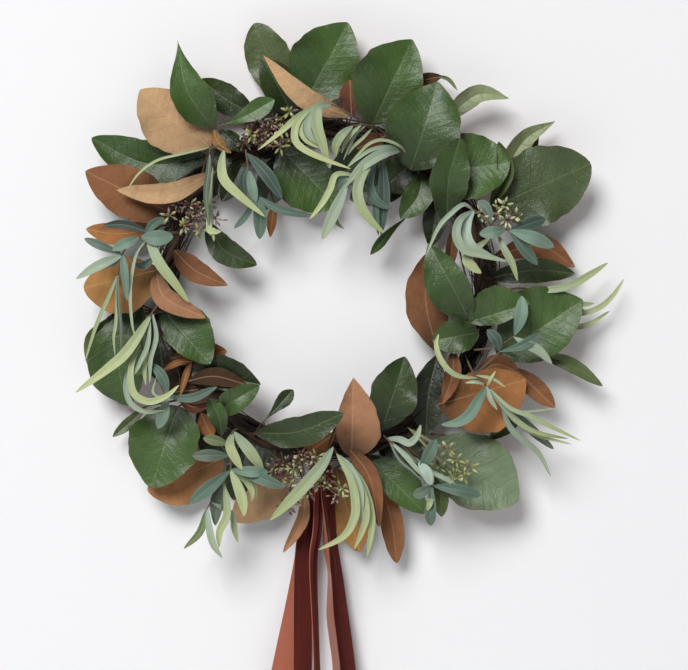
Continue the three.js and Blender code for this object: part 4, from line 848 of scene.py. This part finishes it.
# A sprig: tapered stems, and blades that start at the nearest spot of a stem. The blade's first point is kept
# where it is far enough off the stem and doesn't make a sharp turn.
def makeSprig(name, slotName, stems, blades, seed):
    rng = np.random.default_rng(seed)
    thick, thin = sprigMake["stem"] / 1000, sprigMake["stemTip"] / 1000
    paths = [place(points) for points in stems]
    shells = [tubeShell(path, (thick, thick, thin), linear(sprigMake["stemColour"]), 8, 40, 2) for path in paths]
    spots = np.vstack([curveThrough(path, np.linspace(0.05, 0.99, 80))[0] for path in paths])
    for points, width, kind, shade, *cloth in blades:
        placed = place(points)
        seat = spots[np.argmin(np.linalg.norm(spots - placed[0], axis=1))]
        lead, onward = placed[0] - seat, placed[1] - placed[0]
        reach = np.linalg.norm(lead)
        cosine = lead @ onward / (reach * np.linalg.norm(onward) + 1e-12)
        smooth = reach > sprigMake["shortLead"] and math.acos(np.clip(cosine, -1, 1)) < sprigMake["sharpTurn"]
        path = np.vstack([seat, placed[0 if smooth else 1:]])
        shells.append(bladeShell(path, width, kind, shade, cloth[0] if cloth else int(kind == "teal"), rng))
    makePiece("blades_" + name, "sprig_" + name, shells, [willowCloth, tealCloth, bark])


# Each sprig: its name, its finish, its stems, and its blades as points, width, kind and shade, and the number
# of its cloth where it isn't the kind's own: 0 for willow, 1 for teal.
willow, teal = "willow_leaf", "teal_leaf"
sprigs = [
    ("top_left", willow, [
        [(47, 189, 8), (46, 196, 40), (30, 206, 54), (9, 217, 60), (-8, 218, 62)],
        [(66, 182, 14), (58, 191, 44), (46, 194, 56), (33, 192, 58)],
    ], [
        ([(-8, 218, 62), (-26, 203, 68), (-35, 187, 72), (-32, 169, 74), (-8, 154, 74),
         (31, 140, 68)], 9, "arc", "lime"),
        ([(-8, 217, 61), (-24, 202, 66), (-29, 188, 70), (-22, 173, 71), (-2, 163, 68)], 6, "arc", "lime"),
        ([(-4, 219, 62), (-17, 204, 66), (-21, 189, 67), (-16, 177, 67), (-5, 168, 64)], 10, "willow", "frost"),
        ([(8, 218, 61), (-8, 212, 72), (-9, 190, 76), (-2, 168, 74), (5, 141, 66)], 14, "willow", "willow"),
        ([(-26, 206, 64), (-38, 197, 62), (-53, 184, 60), (-80, 163, 56)], 8, "willow", "lime"),
        ([(33, 192, 58), (20, 180, 66), (13, 168, 62), (13, 155, 56)], 11, "willow", "willow"),
        ([(44, 194, 56), (33, 184, 58), (24, 171, 56), (20, 160, 54)], 5, "fine", "fine"),
        ([(50, 194, 54), (38, 184, 52), (30, 170, 50), (22, 152, 50)], 4, "fine", "frost"),
        ([(58, 190, 46), (46, 179, 52), (34, 168, 50), (27, 158, 48)], 4, "fine", "fine"),
    ]),
    ("top", willow, [
        [(108, 146, 0), (104, 152, 24), (91, 163, 44), (78, 165, 54), (62, 156, 64), (42, 138, 66), (28, 128, 64)],
    ], [
        ([(104, 152, 30), (90, 168, 52), (70, 175, 60), (54, 171, 64), (40, 158, 66), (27, 143, 66)], 4, "arc", "fine"),
        ([(92, 162, 44), (76, 167, 60), (56, 163, 68), (40, 153, 70), (27, 142, 68)], 5, "arc", "frost"),
        ([(90, 162, 46), (74, 160, 66), (56, 151, 74), (40, 138, 76), (24, 119, 68)], 13, "willow", "frost"),
        ([(66, 156, 62), (48, 139, 76), (39, 117, 80), (42, 97, 80), (54, 79, 76), (70, 64, 68)], 13, "arc", "willow"),
        ([(30, 142, 64), (14, 133, 72), (6, 115, 72), (-4, 98, 68), (-18, 81, 62)], 8, "arc", "lime"),
        ([(28, 128, 64), (19, 106, 66), (7, 80, 62), (-3, 57, 56)], 14, "round", "frost"),
        ([(31, 138, 66), (24, 128, 66), (22, 112, 60)], 15, "teal", "blue"),
        ([(62, 156, 62), (54, 122, 60), (61, 103, 62), (81, 93, 54)], 11, "teal", "teal"),
        ([(68, 158, 60), (70, 126, 56), (70, 98, 54), (67, 63, 48)], 15, "teal", "dark"),
        ([(58, 106, 58), (61, 86, 56), (64, 62, 50)], 8, "teal", "teal"),
        ([(24, 112, 60), (13, 92, 56), (14, 78, 54), (23, 70, 50)], 6, "fine", "moss"),
        ([(60, 154, 60), (52, 134, 54), (56, 118, 52), (66, 110, 50)], 5, "fine", "moss"),
    ]),
    ("upper_left_inner", teal, [
        [(-96, 166, 8), (-95, 164, 34), (-91, 141, 42), (-86, 122, 46), (-81, 109, 48)],
    ], [
        ([(-93, 162, 34), (-71, 137, 50), (-51, 107, 46)], 16, "teal", "dark"),
        ([(-81, 110, 47), (-77, 86, 50), (-78, 58, 44)], 17, "teal", "teal"),
        ([(-80, 110, 47), (-61, 96, 52), (-38, 89, 52), (-14, 86, 44)], 10, "willow", "teal", 1),
        ([(-83, 106, 46), (-95, 85, 46), (-109, 71, 40)], 8, "teal", "teal"),
        ([(-91, 142, 42), (-87, 122, 52), (-82, 102, 50)], 12, "teal", "blue"),
        ([(-93, 146, 40), (-98, 130, 40), (-95, 108, 36)], 10, "teal", "dark"),
    ]),
    ("left", teal, [
        [(-174, 65, 8), (-178, 66, 46), (-200, 62, 60), (-218, 60, 66), (-238, 42, 66), (-246, 14, 60)],
        [(-214, 61, 64), (-212, 52, 64), (-222, 40, 62), (-229, 22, 58)],
    ], [
        ([(-218, 60, 66), (-199, 58, 74), (-179, 60, 68)], 19, "teal", "blue"),
        ([(-214, 62, 64), (-204, 74, 64), (-191, 83, 58)], 11, "teal", "teal"),
        ([(-218, 59, 66), (-234, 52, 74), (-252, 44, 68)], 13, "teal", "blue"),
        ([(-240, 40, 66), (-264, 49, 70), (-285, 58, 62)], 11, "teal", "slate"),
        ([(-241, 38, 66), (-266, 26, 74), (-295, 10, 62)], 12, "willow", "frost"),
        ([(-238, 38, 66), (-236, 16, 72), (-234, -16, 64)], 10, "willow", "blue", 1),
        ([(-210, 60, 62), (-203, 45, 72), (-193, 26, 76), (-178, 6, 72), (-161, -18, 62)], 13, "arc", "willow"),
        ([(-212, 56, 64), (-224, 36, 66), (-230, -2, 66), (-229, -40, 60), (-225, -61, 54)], 4, "arc", "frost"),
        ([(-246, 14, 62), (-244, -20, 64), (-242, -48, 60), (-243, -71, 54)], 5, "arc", "slate"),
        ([(-246, 6, 60), (-248, -40, 58), (-251, -60, 56), (-250, -82, 50)], 4, "arc", "fine"),
        ([(-246, 12, 60), (-256, -10, 60), (-272, -46, 56), (-286, -88, 50)], 5, "arc", "fine"),
        ([(-204, 74, 54), (-236, 74, 60), (-264, 74, 54)], 11, "teal", "black"),
        ([(-240, 40, 60), (-252, 30, 56), (-264, 27, 52)], 10, "teal", "dark"),
        ([(-226, 30, 56), (-216, 26, 52), (-204, 36, 48)], 10, "teal", "dark"),
    ]),
    ("left_low", willow, [
        [(-199, -13, 8), (-202, -24, 48), (-208, -36, 58), (-218, -66, 58), (-206, -92, 52), (-194, -120, 50),
         (-188, -132, 48)],
    ], [
        ([(-206, -32, 58), (-221, -58, 70), (-237, -80, 74), (-260, -99, 72), (-296, -125, 60)], 13, "arc", "lime"),
        ([(-204, -36, 56), (-209, -66, 66), (-218, -88, 66), (-226, -104, 64)], 6, "arc", "frost"),
        ([(-200, -34, 54), (-200, -58, 60), (-206, -84, 62), (-208, -114, 58)], 6, "arc", "frost"),
        ([(-212, -54, 58), (-211, -78, 58), (-214, -98, 58), (-213, -116, 56)], 6, "arc", "fine"),
        ([(-218, -66, 58), (-229, -94, 66), (-226, -124, 70), (-208, -135, 70), (-188, -129, 66),
         (-173, -116, 58)], 9, "arc", "lime"),
        ([(-220, -74, 56), (-235, -106, 60), (-232, -134, 62), (-214, -147, 62), (-190, -146, 56)], 7, "arc", "frost"),
        ([(-210, -108, 52), (-204, -124, 60), (-192, -130, 62), (-183, -122, 58)], 3, "arc", "fine"),
        ([(-208, -88, 53), (-194, -104, 60), (-186, -123, 58)], 13, "teal", "teal"),
        ([(-189, -130, 49), (-158, -131, 60), (-128, -118, 54)], 11, "teal", "teal"),
        ([(-189, -132, 48), (-192, -150, 56), (-199, -168, 50)], 15, "teal", "blue"),
    ]),
    ("lower_left", willow, [
        [(-104, -170, 6), (-110, -172, 46), (-114, -190, 54), (-112, -216, 56), (-124, -236, 54), (-142, -266, 54)],
    ], [
        ([(-116, -172, 48), (-112, -188, 66), (-105, -203, 68), (-98, -216, 64)], 12, "willow", "lime"),
        ([(-108, -172, 46), (-94, -188, 60), (-82, -204, 60), (-73, -219, 54)], 14, "willow", "willow"),
        ([(-114, -188, 50), (-130, -182, 54), (-145, -179, 52)], 13, "teal", "moss"),
        ([(-114, -200, 54), (-136, -199, 62), (-157, -200, 60)], 15, "teal", "slate"),
        ([(-113, -217, 56), (-137, -237, 66), (-161, -257, 60)], 16, "teal", "teal"),
        ([(-110, -217, 56), (-88, -218, 66), (-67, -219, 60)], 14, "teal", "blue"),
        ([(-92, -220, 60), (-68, -229, 67), (-47, -237, 64)], 15, "teal", "teal"),
        ([(-110, -218, 56), (-102, -238, 64), (-97, -256, 62), (-96, -272, 56)], 13, "willow", "lime"),
        ([(-96, -228, 52), (-87, -242, 52), (-88, -256, 48)], 8, "willow", "lime"),
        ([(-92, -230, 48), (-84, -238, 46), (-82, -253, 42)], 6, "willow", "lime"),
        ([(-122, -228, 54), (-128, -254, 50), (-131, -284, 46)], 17, "willow", "slate", 1),
        ([(-108, -240, 52), (-116, -268, 56), (-125, -290, 56), (-126, -310, 52)], 10, "willow", "lime"),
        ([(-140, -262, 54), (-137, -286, 60), (-132, -306, 58), (-122, -322, 52)], 9, "willow", "frost"),
        ([(-142, -266, 54), (-148, -290, 58), (-168, -311, 52)], 9, "willow", "moss"),
        ([(-112, -270, 46), (-108, -290, 42), (-104, -305, 38)], 8, "willow", "willow"),
    ]),
    ("bottom", willow, [
        [(16, -203, 8), (15, -200, 46), (10, -189, 60)],
    ], [
        ([(9, -188, 60), (-4, -211, 72), (-25, -235, 76), (-46, -257, 74), (-65, -276, 66)], 15, "willow", "willow"),
        ([(14, -200, 56), (30, -225, 66), (36, -250, 68), (35, -272, 68), (22, -295, 64),
         (-8, -312, 56)], 11, "arc", "lime"),
        ([(15, -200, 54), (36, -224, 60), (46, -248, 62), (49, -270, 62), (44, -290, 58),
         (35, -311, 52)], 10, "arc", "lime"),
        ([(16, -200, 52), (40, -225, 54), (51, -250, 56), (56, -276, 56), (54, -300, 52),
         (50, -321, 46)], 9, "arc", "willow"),
        ([(15, -200, 52), (30, -212, 58), (42, -236, 64), (43, -262, 64), (38, -284, 60)], 7, "arc", "frost"),
        ([(15, -202, 50), (26, -218, 56), (32, -240, 58), (32, -262, 56)], 4, "arc", "fine"),
    ]),
    ("bottom_right", teal, [
        [(71, -178, 8), (74, -180, 46), (90, -194, 56), (108, -212, 60), (128, -236, 58)],
        [(74, -180, 44), (88, -184, 54), (102, -198, 60), (118, -216, 62)],
    ], [
        ([(73, -180, 46), (88, -180, 60), (100, -184, 66), (109, -176, 64), (114, -163, 58)], 9, "arc", "frost"),
        ([(78, -182, 50), (94, -198, 62), (110, -216, 64), (126, -231, 60)], 6, "arc", "frost"),
        ([(80, -184, 50), (104, -202, 58), (118, -212, 62), (130, -228, 60)], 5, "arc", "blue"),
        ([(76, -184, 48), (88, -204, 58), (104, -218, 62), (120, -234, 58)], 4, "fine", "slate"),
        ([(112, -206, 60), (120, -218, 68), (126, -234, 64)], 14, "teal", "pearl"),
        ([(114, -216, 60), (123, -198, 68), (132, -180, 62)], 15, "teal", "teal"),
        ([(126, -236, 58), (125, -264, 66), (126, -283, 58)], 14, "teal", "teal"),
        ([(126, -246, 58), (124, -256, 70), (121, -265, 66)], 8, "willow", "willow"),
        ([(127, -238, 58), (115, -243, 62), (105, -247, 58)], 13, "teal", "slate"),
        ([(130, -238, 58), (160, -240, 66), (186, -247, 58)], 15, "teal", "teal"),
        ([(120, -216, 62), (142, -226, 66), (160, -238, 62)], 6, "fine", "frost"),
        ([(112, -206, 58), (132, -222, 60), (148, -240, 56)], 5, "fine", "blue"),
    ]),
    ("upper_right", teal, [
        [(177, 85, 8), (176, 92, 50), (182, 88, 60), (200, 74, 66), (220, 67, 64)],
        [(188, 68, 10), (196, 60, 46), (206, 62, 62)],
    ], [
        ([(178, 97, 56), (164, 98, 66), (148, 86, 72), (134, 70, 72), (120, 38, 64)], 6, "arc", "frost"),
        ([(178, 96, 56), (160, 80, 74), (155, 62, 78), (164, 45, 76), (186, 38, 72),
         (216, 31, 64)], 11, "arc", "frost"),
        ([(179, 97, 56), (169, 79, 66), (167, 62, 70), (176, 47, 70), (200, 36, 64)], 13, "arc", "pearl"),
        ([(168, 52, 62), (169, 36, 66), (176, 24, 64), (186, 17, 58)], 12, "willow", "lime"),
        ([(204, 64, 62), (213, 44, 68), (222, 28, 66), (229, 8, 58)], 9, "willow", "willow"),
        ([(199, 76, 62), (191, 94, 64), (182, 103, 58)], 13, "teal", "slate"),
        ([(214, 67, 64), (199, 65, 74), (183, 63, 68)], 15, "teal", "blue"),
        ([(218, 67, 64), (246, 58, 74), (272, 48, 62)], 17, "teal", "blue"),
        ([(219, 66, 62), (236, 46, 64), (253, 27, 56)], 14, "teal", "teal"),
        ([(220, 68, 62), (244, 76, 60), (263, 82, 52)], 16, "teal", "dark"),
    ]),
    ("right_tip", willow, [
        [(198, -36, 2), (226, -36, 3), (256, -32, 6), (280, -34, 10)],
        [(214, -4, 6), (232, 0, 28), (250, -1, 30)],
    ], [
        ([(230, 1, 28), (268, -2, 34), (296, 4, 34), (318, 16, 28), (342, 31, 18)], 10, "arc", "willow"),
        ([(276, -34, 10), (306, -31, 14), (330, -24, 16), (348, -9, 14), (363, 12, 8)], 7, "arc", "lime"),
        ([(274, -36, 10), (296, -45, 10), (318, -44, 10), (346, -27, 6)], 7, "arc", "willow"),
        ([(278, -32, 10), (298, -16, 12), (314, -19, 12), (327, -18, 8)], 7, "willow", "willow"),
        ([(278, -34, 8), (298, -25, 10), (322, -28, 6)], 5, "fine", "fine"),
    ]),
    ("right", teal, [
        [(181, -74, 8), (182, -74, 50), (205, -70, 58), (226, -57, 58)],
        [(178, -104, 44), (196, -88, 56), (208, -76, 58)],
    ], [
        ([(226, -57, 58), (232, -34, 66), (234, -10, 60)], 16, "teal", "blue"),
        ([(226, -62, 58), (238, -67, 66), (254, -75, 64), (270, -91, 58)], 12, "teal", "frost", 1),
        ([(208, -77, 58), (230, -70, 68), (246, -62, 66), (257, -54, 60)], 12, "teal", "teal"),
        ([(208, -74, 56), (203, -62, 62), (193, -50, 58)], 14, "teal", "dark"),
    ]),
    ("lower_right", willow, [
        [(170, -80, 8), (174, -96, 50), (180, -106, 62), (192, -117, 64), (216, -142, 62)],
    ], [
        ([(182, -107, 62), (156, -104, 66), (140, -90, 68), (132, -70, 66), (135, -55, 60)], 7, "arc", "lime"),
        ([(190, -115, 64), (178, -112, 68), (166, -113, 66)], 4, "fine", "frost"),
        ([(191, -118, 64), (196, -108, 70), (202, -99, 68)], 4, "fine", "lime"),
        ([(178, -104, 60), (198, -108, 68), (214, -118, 66)], 4, "fine", "fine"),
        ([(191, -118, 65), (181, -134, 74), (170, -151, 74), (156, -160, 70),
         (138, -163, 60)], 14, "willow", "blue", 1),
        ([(190, -118, 65), (196, -132, 70), (204, -145, 68)], 6, "fine", "frost"),
        ([(194, -119, 66), (218, -142, 72), (242, -152, 72), (270, -166, 66), (304, -182, 56)], 6, "arc", "willow"),
        ([(193, -119, 66), (214, -144, 66), (230, -160, 64), (252, -172, 60), (290, -180, 50)], 7, "arc", "willow"),
        ([(216, -144, 62), (232, -163, 58), (254, -176, 54), (295, -187, 46)], 5, "arc", "lime"),
        ([(232, -147, 62), (254, -146, 58), (276, -143, 52)], 2.5, "fine", "fine"),
        ([(214, -142, 60), (236, -160, 52), (254, -176, 46), (274, -193, 38)], 12, "arc", "slate"),
        ([(208, -136, 58), (218, -162, 52), (234, -180, 44), (256, -198, 36), (272, -227, 28)], 8, "arc", "frost"),
    ]),
    ("upper_left", willow, [
        [(-132, 140, 8), (-136, 152, 52), (-137, 168, 60)],
        [(-137, 164, 58), (-128, 168, 60), (-119, 163, 60)],
    ], [
        ([(-137, 166, 60), (-166, 159, 62), (-198, 151, 62), (-220, 136, 60), (-235, 117, 54)], 3.2, "arc", "lime"),
        ([(-120, 163, 60), (-122, 143, 66), (-118, 126, 70), (-100, 108, 68), (-71, 84, 58)], 12, "arc", "lime"),
        ([(-136, 160, 56), (-138, 138, 62), (-141, 108, 60), (-137, 70, 54)], 7, "arc", "slate"),
        ([(-138, 76, 54), (-132, 67, 58), (-123, 67, 56)], 8, "teal", "lime"),
        ([(-136, 72, 52), (-133, 64, 56), (-132, 55, 52)], 5, "fine", "lime"),
    ]),
]
for number, sprig in enumerate(sprigs):
    makeSprig(*sprig, 200 + number)
print("sprigs made")

budMake = {
    "star": {"buds": 7, "length": (7.0, 9.5), "width": 1.75, "stalk": 3.5, "spread": 1.5},
    "mass": {"buds": 15, "length": (4.5, 7.0), "width": 1.3, "stalk": 6.0, "spread": 5.0},
    "thread": 0.45, "stem": 1.2, "stalk": 0.6, "goldenAngle": 2.39996, "ownColour": 0.82, "footShade": 0.62,
    "scatter": 0.18, "bow": 0.002,
    "green": ("#b3b77c", "#cfd0a0", "#a3a968"), "cream": ("#c4c79a", "#dcdcb8", "#b6ba86"),
    "purple": ("#8d6a66", "#6b4a45", "#a58682"),
    "stalkGreen": "#8f8f5c", "stalkPurple": "#5a3d33",
}


def stalkColour(family):
    return linear(budMake["stalkGreen" if family == "green" else "stalkPurple"])


# One cluster of buds: they point evenly all round, more to the front than to the back, directions on a
# golden-angle spiral, each on a thread of a stalk and shaped as a plump spindle.
def budShells(centre, form, family, rng):
    make = budMake[form]
    count = make["buds"]
    step = np.arange(count) + 0.5
    height = 1 - 1.5 * step / count
    turn = step * budMake["goldenAngle"] + rng.uniform(0, 6.28)
    flat = np.sqrt(1 - height ** 2)
    spiral = np.stack([flat * np.cos(turn), -height, flat * np.sin(turn)], -1)
    thread = budMake["thread"] / 1000
    shells = []
    for direction in unit(spiral + rng.normal(0, budMake["scatter"], (count, 3)), 0):
        length, wide = rng.uniform(*make["length"]) / 1000, make["width"] / 1000 * rng.uniform(0.85, 1.15)
        shown = family if rng.random() < budMake["ownColour"] else ("green" if family == "purple" else "purple")
        colour = linear(budMake[shown][rng.integers(3)])
        foot = centre + direction * (make["stalk"] / 1000) + rng.normal(0, make["spread"] / 1000, 3) * (0.35, 0.2, 0.35)
        shells.append(tubeShell([centre, (centre + foot) / 2, foot], (thread, thread), stalkColour(family), 5, 5))
        path = [foot, foot + direction * length * 0.5, foot + direction * length]
        radii = (wide * 0.3, wide * 0.85, wide, wide * 0.95, wide * 0.6, 0.00015)
        shells.append(tubeShell(path, radii, (colour * budMake["footShade"], colour), 7, 9))
    return shells


# A seed spray: its root in the vines, a stalk from its hub to each cluster, bowed a little, and the clusters.
def makeSpray(name, root, hub, seed, clusters):
    rng = np.random.default_rng(seed)
    start = place(hub)
    thick, thin = budMake["stem"] / 1000, budMake["stalk"] / 1000
    shells = [tubeShell([place(root), start], (thick, thick), stalkColour("purple"), 7, 6)]
    for *where, form, family in clusters:
        centre = place(where)
        bow = (start + centre) / 2 + rng.normal(0, budMake["bow"], 3)
        shells.append(tubeShell([start, bow, centre], (thin * 1.3, thin, thin), stalkColour(family), 6, 12))
        shells += budShells(centre, form, family, rng)
    makePiece("buds_" + name, "seeds_" + name, shells, [budPlastic])


# Each spray: its name, where its root and hub stand, a seed, and its clusters as x, z, forward, form and family.
seedSprays = [
    ("top_left", (-86, 172, 8), (-84, 174, 20), 11, [
        (-89, 186, 34, "mass", "purple"), (-70, 190, 38, "mass", "purple"), (-74, 176, 42, "mass", "purple"),
        (-42, 210, 48, "star", "green"), (-53, 170, 42, "star", "green"), (-87, 182, 42, "star", "green"),
        (-53, 188, 44, "star", "green"), (-43, 177, 40, "star", "green"), (-62, 200, 34, "mass", "purple"),
        (-60, 178, 34, "mass", "purple"), (-98, 176, 30, "mass", "purple"), (-80, 198, 30, "mass", "purple")]),
    ("left", (-170, 100, 8), (-168, 98, 20), 12, [
        (-186, 86, 46, "star", "green"), (-152, 90, 48, "mass", "purple"), (-168, 74, 46, "star", "green"),
        (-148, 68, 46, "star", "green"), (-140, 98, 40, "mass", "purple"), (-162, 98, 40, "mass", "purple"),
        (-132, 84, 38, "mass", "purple"), (-158, 82, 42, "mass", "purple"), (-176, 100, 36, "mass", "purple")]),
    ("upper_right", (188, 62, 8), (189, 64, 20), 13, [
        (213, 97, 62, "star", "cream"), (226, 84, 60, "star", "cream"), (216, 80, 62, "star", "cream"),
        (199, 84, 60, "star", "cream"), (186, 88, 58, "star", "cream"), (206, 90, 56, "mass", "green")]),
    ("lower_right", (100, -168, 8), (101, -169, 20), 14, [
        (146, -192, 48, "star", "green"), (174, -214, 46, "star", "green"), (136, -214, 46, "star", "green"),
        (156, -206, 46, "star", "green"), (154, -228, 46, "mass", "green"), (166, -224, 44, "star", "green")]),
    ("bottom", (-36, -190, 8), (-31, -197, 36), 15, [
        (-50, -210, 44, "mass", "purple"), (-30, -206, 50, "mass", "purple"), (-14, -212, 50, "mass", "purple"),
        (-50, -226, 48, "mass", "purple"), (-24, -228, 54, "mass", "purple"), (-8, -234, 54, "star", "green"),
        (-34, -252, 54, "star", "green"), (14, -248, 50, "mass", "purple"), (-42, -236, 52, "star", "green"),
        (-36, -216, 52, "star", "green"), (2, -220, 52, "mass", "purple"), (-10, -202, 48, "star", "green"),
        (-28, -198, 46, "mass", "purple"), (-44, -260, 50, "mass", "purple"), (2, -232, 54, "star", "green"),
        (-60, -216, 42, "mass", "purple"), (-18, -240, 54, "mass", "purple"), (20, -240, 44, "star", "green")]),
]
for spray in seedSprays:
    makeSpray(*spray)
print("seed sprays made")

# The tails' stations are x, z, forward, the turn about the length in degrees, and the gathered width.
ribbon = {
    "width": 25.0, "thickness": 0.9, "rows": 110, "columns": 14, "pleats": 2.0,
    "softness": (0.9, 0.5), "phaseStep": 1.3,
    "tails": [
        [(-13, -216, 10, 150, 14), (-24, -323, 8, 175, 25), (-51.5, -458, 12, 180, 25), (-78, -586, 8, 185, 25)],
        [(-10, -215, 17, 10, 16), (-26, -323, 22, 35, 25), (-27, -458, 20, 30, 25), (-30, -600, 14, 20, 25)],
        [(-7, -216, 23, 48, 10), (-8, -288, 30, 62, 18), (-13, -338, 32, 70, 24), (-10, -458, 30, 70, 25),
         (-6, -566, 26, 60, 25)],
        [(-1, -217, 19, 50, 12), (1.5, -296, 26, 106, 20), (5.5, -344, 25, 99, 25), (5.5, -392, 25, 106, 25),
         (10, -425, 24, 108, 25), (14, -462, 22, 112, 25), (18, -572, 16, 122, 25)],
        [(0, -215, 12, 20, 14), (8, -290, 12, 66, 20), (14, -360, 12, 42, 25), (25, -458, 12, 32, 25),
         (38, -590, 8, 20, 25)],
    ],
}
knot = {
    "middle": (-6.6, -213.3, 16.2), "size": (14.0, 10.5, 11.5), "turns": 2, "steps": 120, "meanRadius": 0.011,
    "thickness": 0.8, "bandRadius": 14.6, "bandPlace": -8.0, "bandTurn": 0.985, "bandSteps": 72,
}
halfBreadth = ribbon["width"] / 2000


# A ribbon's shell with velvet on its first face and satin on its second, or the other way round.
def ribbonShell(front, back, uv, slots):
    white = np.ones(front.shape[:2] + (4,))
    return sheetShell(front, back, uv, white, white, slots)


# One ribbon tail: across the strip v runs from -1 to 1 over its width, turned about its length. Where it is
# gathered, pleats v -> depth x cos(pi v x pleats) take up the cloth that the width has lost.
def tailShell(stations, phase):
    data = np.asarray(stations, float)
    u = np.linspace(0, 1, ribbon["rows"])
    v = np.linspace(-1, 1, ribbon["columns"] + 1)
    centre, tangent = curveThrough(place(data[:, :3]), u)
    turn, width = curveThrough(data[:, 3:], u)[0].T
    width = np.minimum(width, ribbon["width"])
    normal, side = bladeFrame(tangent, turn)
    lost = np.sqrt(np.maximum(ribbon["width"] ** 2 - width ** 2, 0)) / (4 * ribbon["pleats"])
    depth = lost[:, None] * np.cos(2 * np.pi * v * ribbon["pleats"] / 2 + phase)
    tilt, belly = ribbon["softness"]
    soft = tilt * np.sin(7 * u[:, None] + phase) * v + belly * np.sin(13 * u[:, None] + 2 * phase) * v ** 2
    middle = (centre[:, None] + side[:, None] * (v * width[:, None] / 2000)[..., None]
              + normal[:, None] * ((depth + soft) / 1000)[..., None])
    apart = normal[:, None] * (ribbon["thickness"] / 2000)
    length = float(hops(centre).sum())
    uv = np.stack(np.broadcast_arrays(v[None, :] * ribbon["width"] / 2000, (u * length)[:, None]), -1)
    return ribbonShell(middle + apart, middle - apart, uv, (0, 1, 1)), length


# Area of one face of a shell in square metres, from the cross products of its quads' diagonals.
def faceArea(shell):
    quads = shell["points"][shell["faces"][shell["slots"] == 0]]
    return float(np.linalg.norm(np.cross(quads[:, 2] - quads[:, 0], quads[:, 3] - quads[:, 1]), axis=1).sum() / 2)


# The band: the ribbon laid once round the vines, radius + a slight belly across its width.
def bandShell():
    turn = np.linspace(0, 2 * np.pi * knot["bandTurn"], knot["bandSteps"])[:, None]
    v = np.linspace(-1, 1, 11)
    radius = knot["bandRadius"] + 0.5 * (1 - v ** 2) + 0.5 * np.sin(3 * turn)
    x = knot["bandPlace"] + v * ribbon["width"] / 2
    z = -ring["radius"] + radius * np.cos(turn)
    forward = radius * np.sin(turn)
    inner = np.stack(np.broadcast_arrays(x, z, forward), -1)
    outward = np.stack(np.broadcast_arrays(0.0, (z + ring["radius"]) / radius, forward / radius), -1)
    uv = np.stack(np.broadcast_arrays(v * halfBreadth, turn * knot["bandRadius"] / 1000), -1)
    return ribbonShell(place(inner + outward * ribbon["thickness"]), place(inner), uv, (0, 1, 1))


# The knot: the ribbon wound twice round its own tails, a squashed spiral tube whose strip is creased by
# waves across its width.
def knotShell():
    turn = np.linspace(0, 2 * np.pi * knot["turns"], knot["steps"])[:, None]
    v = np.linspace(-1, 1, 15)
    sizeX, sizeZ, sizeForward = knot["size"]
    middleX, middleZ, middleForward = knot["middle"]
    swell = (0.86 + 0.1 * (turn / turn[-1])) * (1 - 0.16 * v ** 2)
    crease = 0.35 * np.sin(6 * v + 1.5 * turn)
    x = middleX + (sizeX * 0.72 * swell + crease) * np.cos(turn)
    z = middleZ + sizeZ * 0.86 * v + 0.8 * np.sin(turn)
    forward = middleForward + (sizeForward * 0.72 * swell + crease) * np.sin(turn)
    inner = np.stack([x, z, forward], -1)
    outward = np.stack(np.broadcast_arrays(np.cos(turn), 0 * v, np.sin(turn)), -1)
    uv = np.stack(np.broadcast_arrays(v * halfBreadth, turn * knot["meanRadius"]), -1)
    return ribbonShell(place(inner), place(inner + outward * knot["thickness"]), uv, (1, 0, 1))


def makeRibbonPiece(name, shell):
    return makePiece(name, "velvet_ribbon", [shell], [velvet, satin], 60)


width = ribbon["width"] / 1000
# A tail's flat length is that of its middle line, and its cut is a plain strip, so its area is at most width x
# length. The band's and the knot's is the modelled area over the ribbon's width.
for number, stations in enumerate(ribbon["tails"]):
    shell, length = tailShell(stations, ribbon["phaseStep"] * number)
    piece = makeRibbonPiece(f"ribbon_tail_{number + 1}", shell)
for name, shell in (("ribbon_band", bandShell()), ("ribbon_knot", knotShell())):
    piece = makeRibbonPiece(name, shell)
    length = faceArea(shell) / width
    print(f"{name}: {length * 1000:.0f} mm of ribbon")
print("ribbon tied")
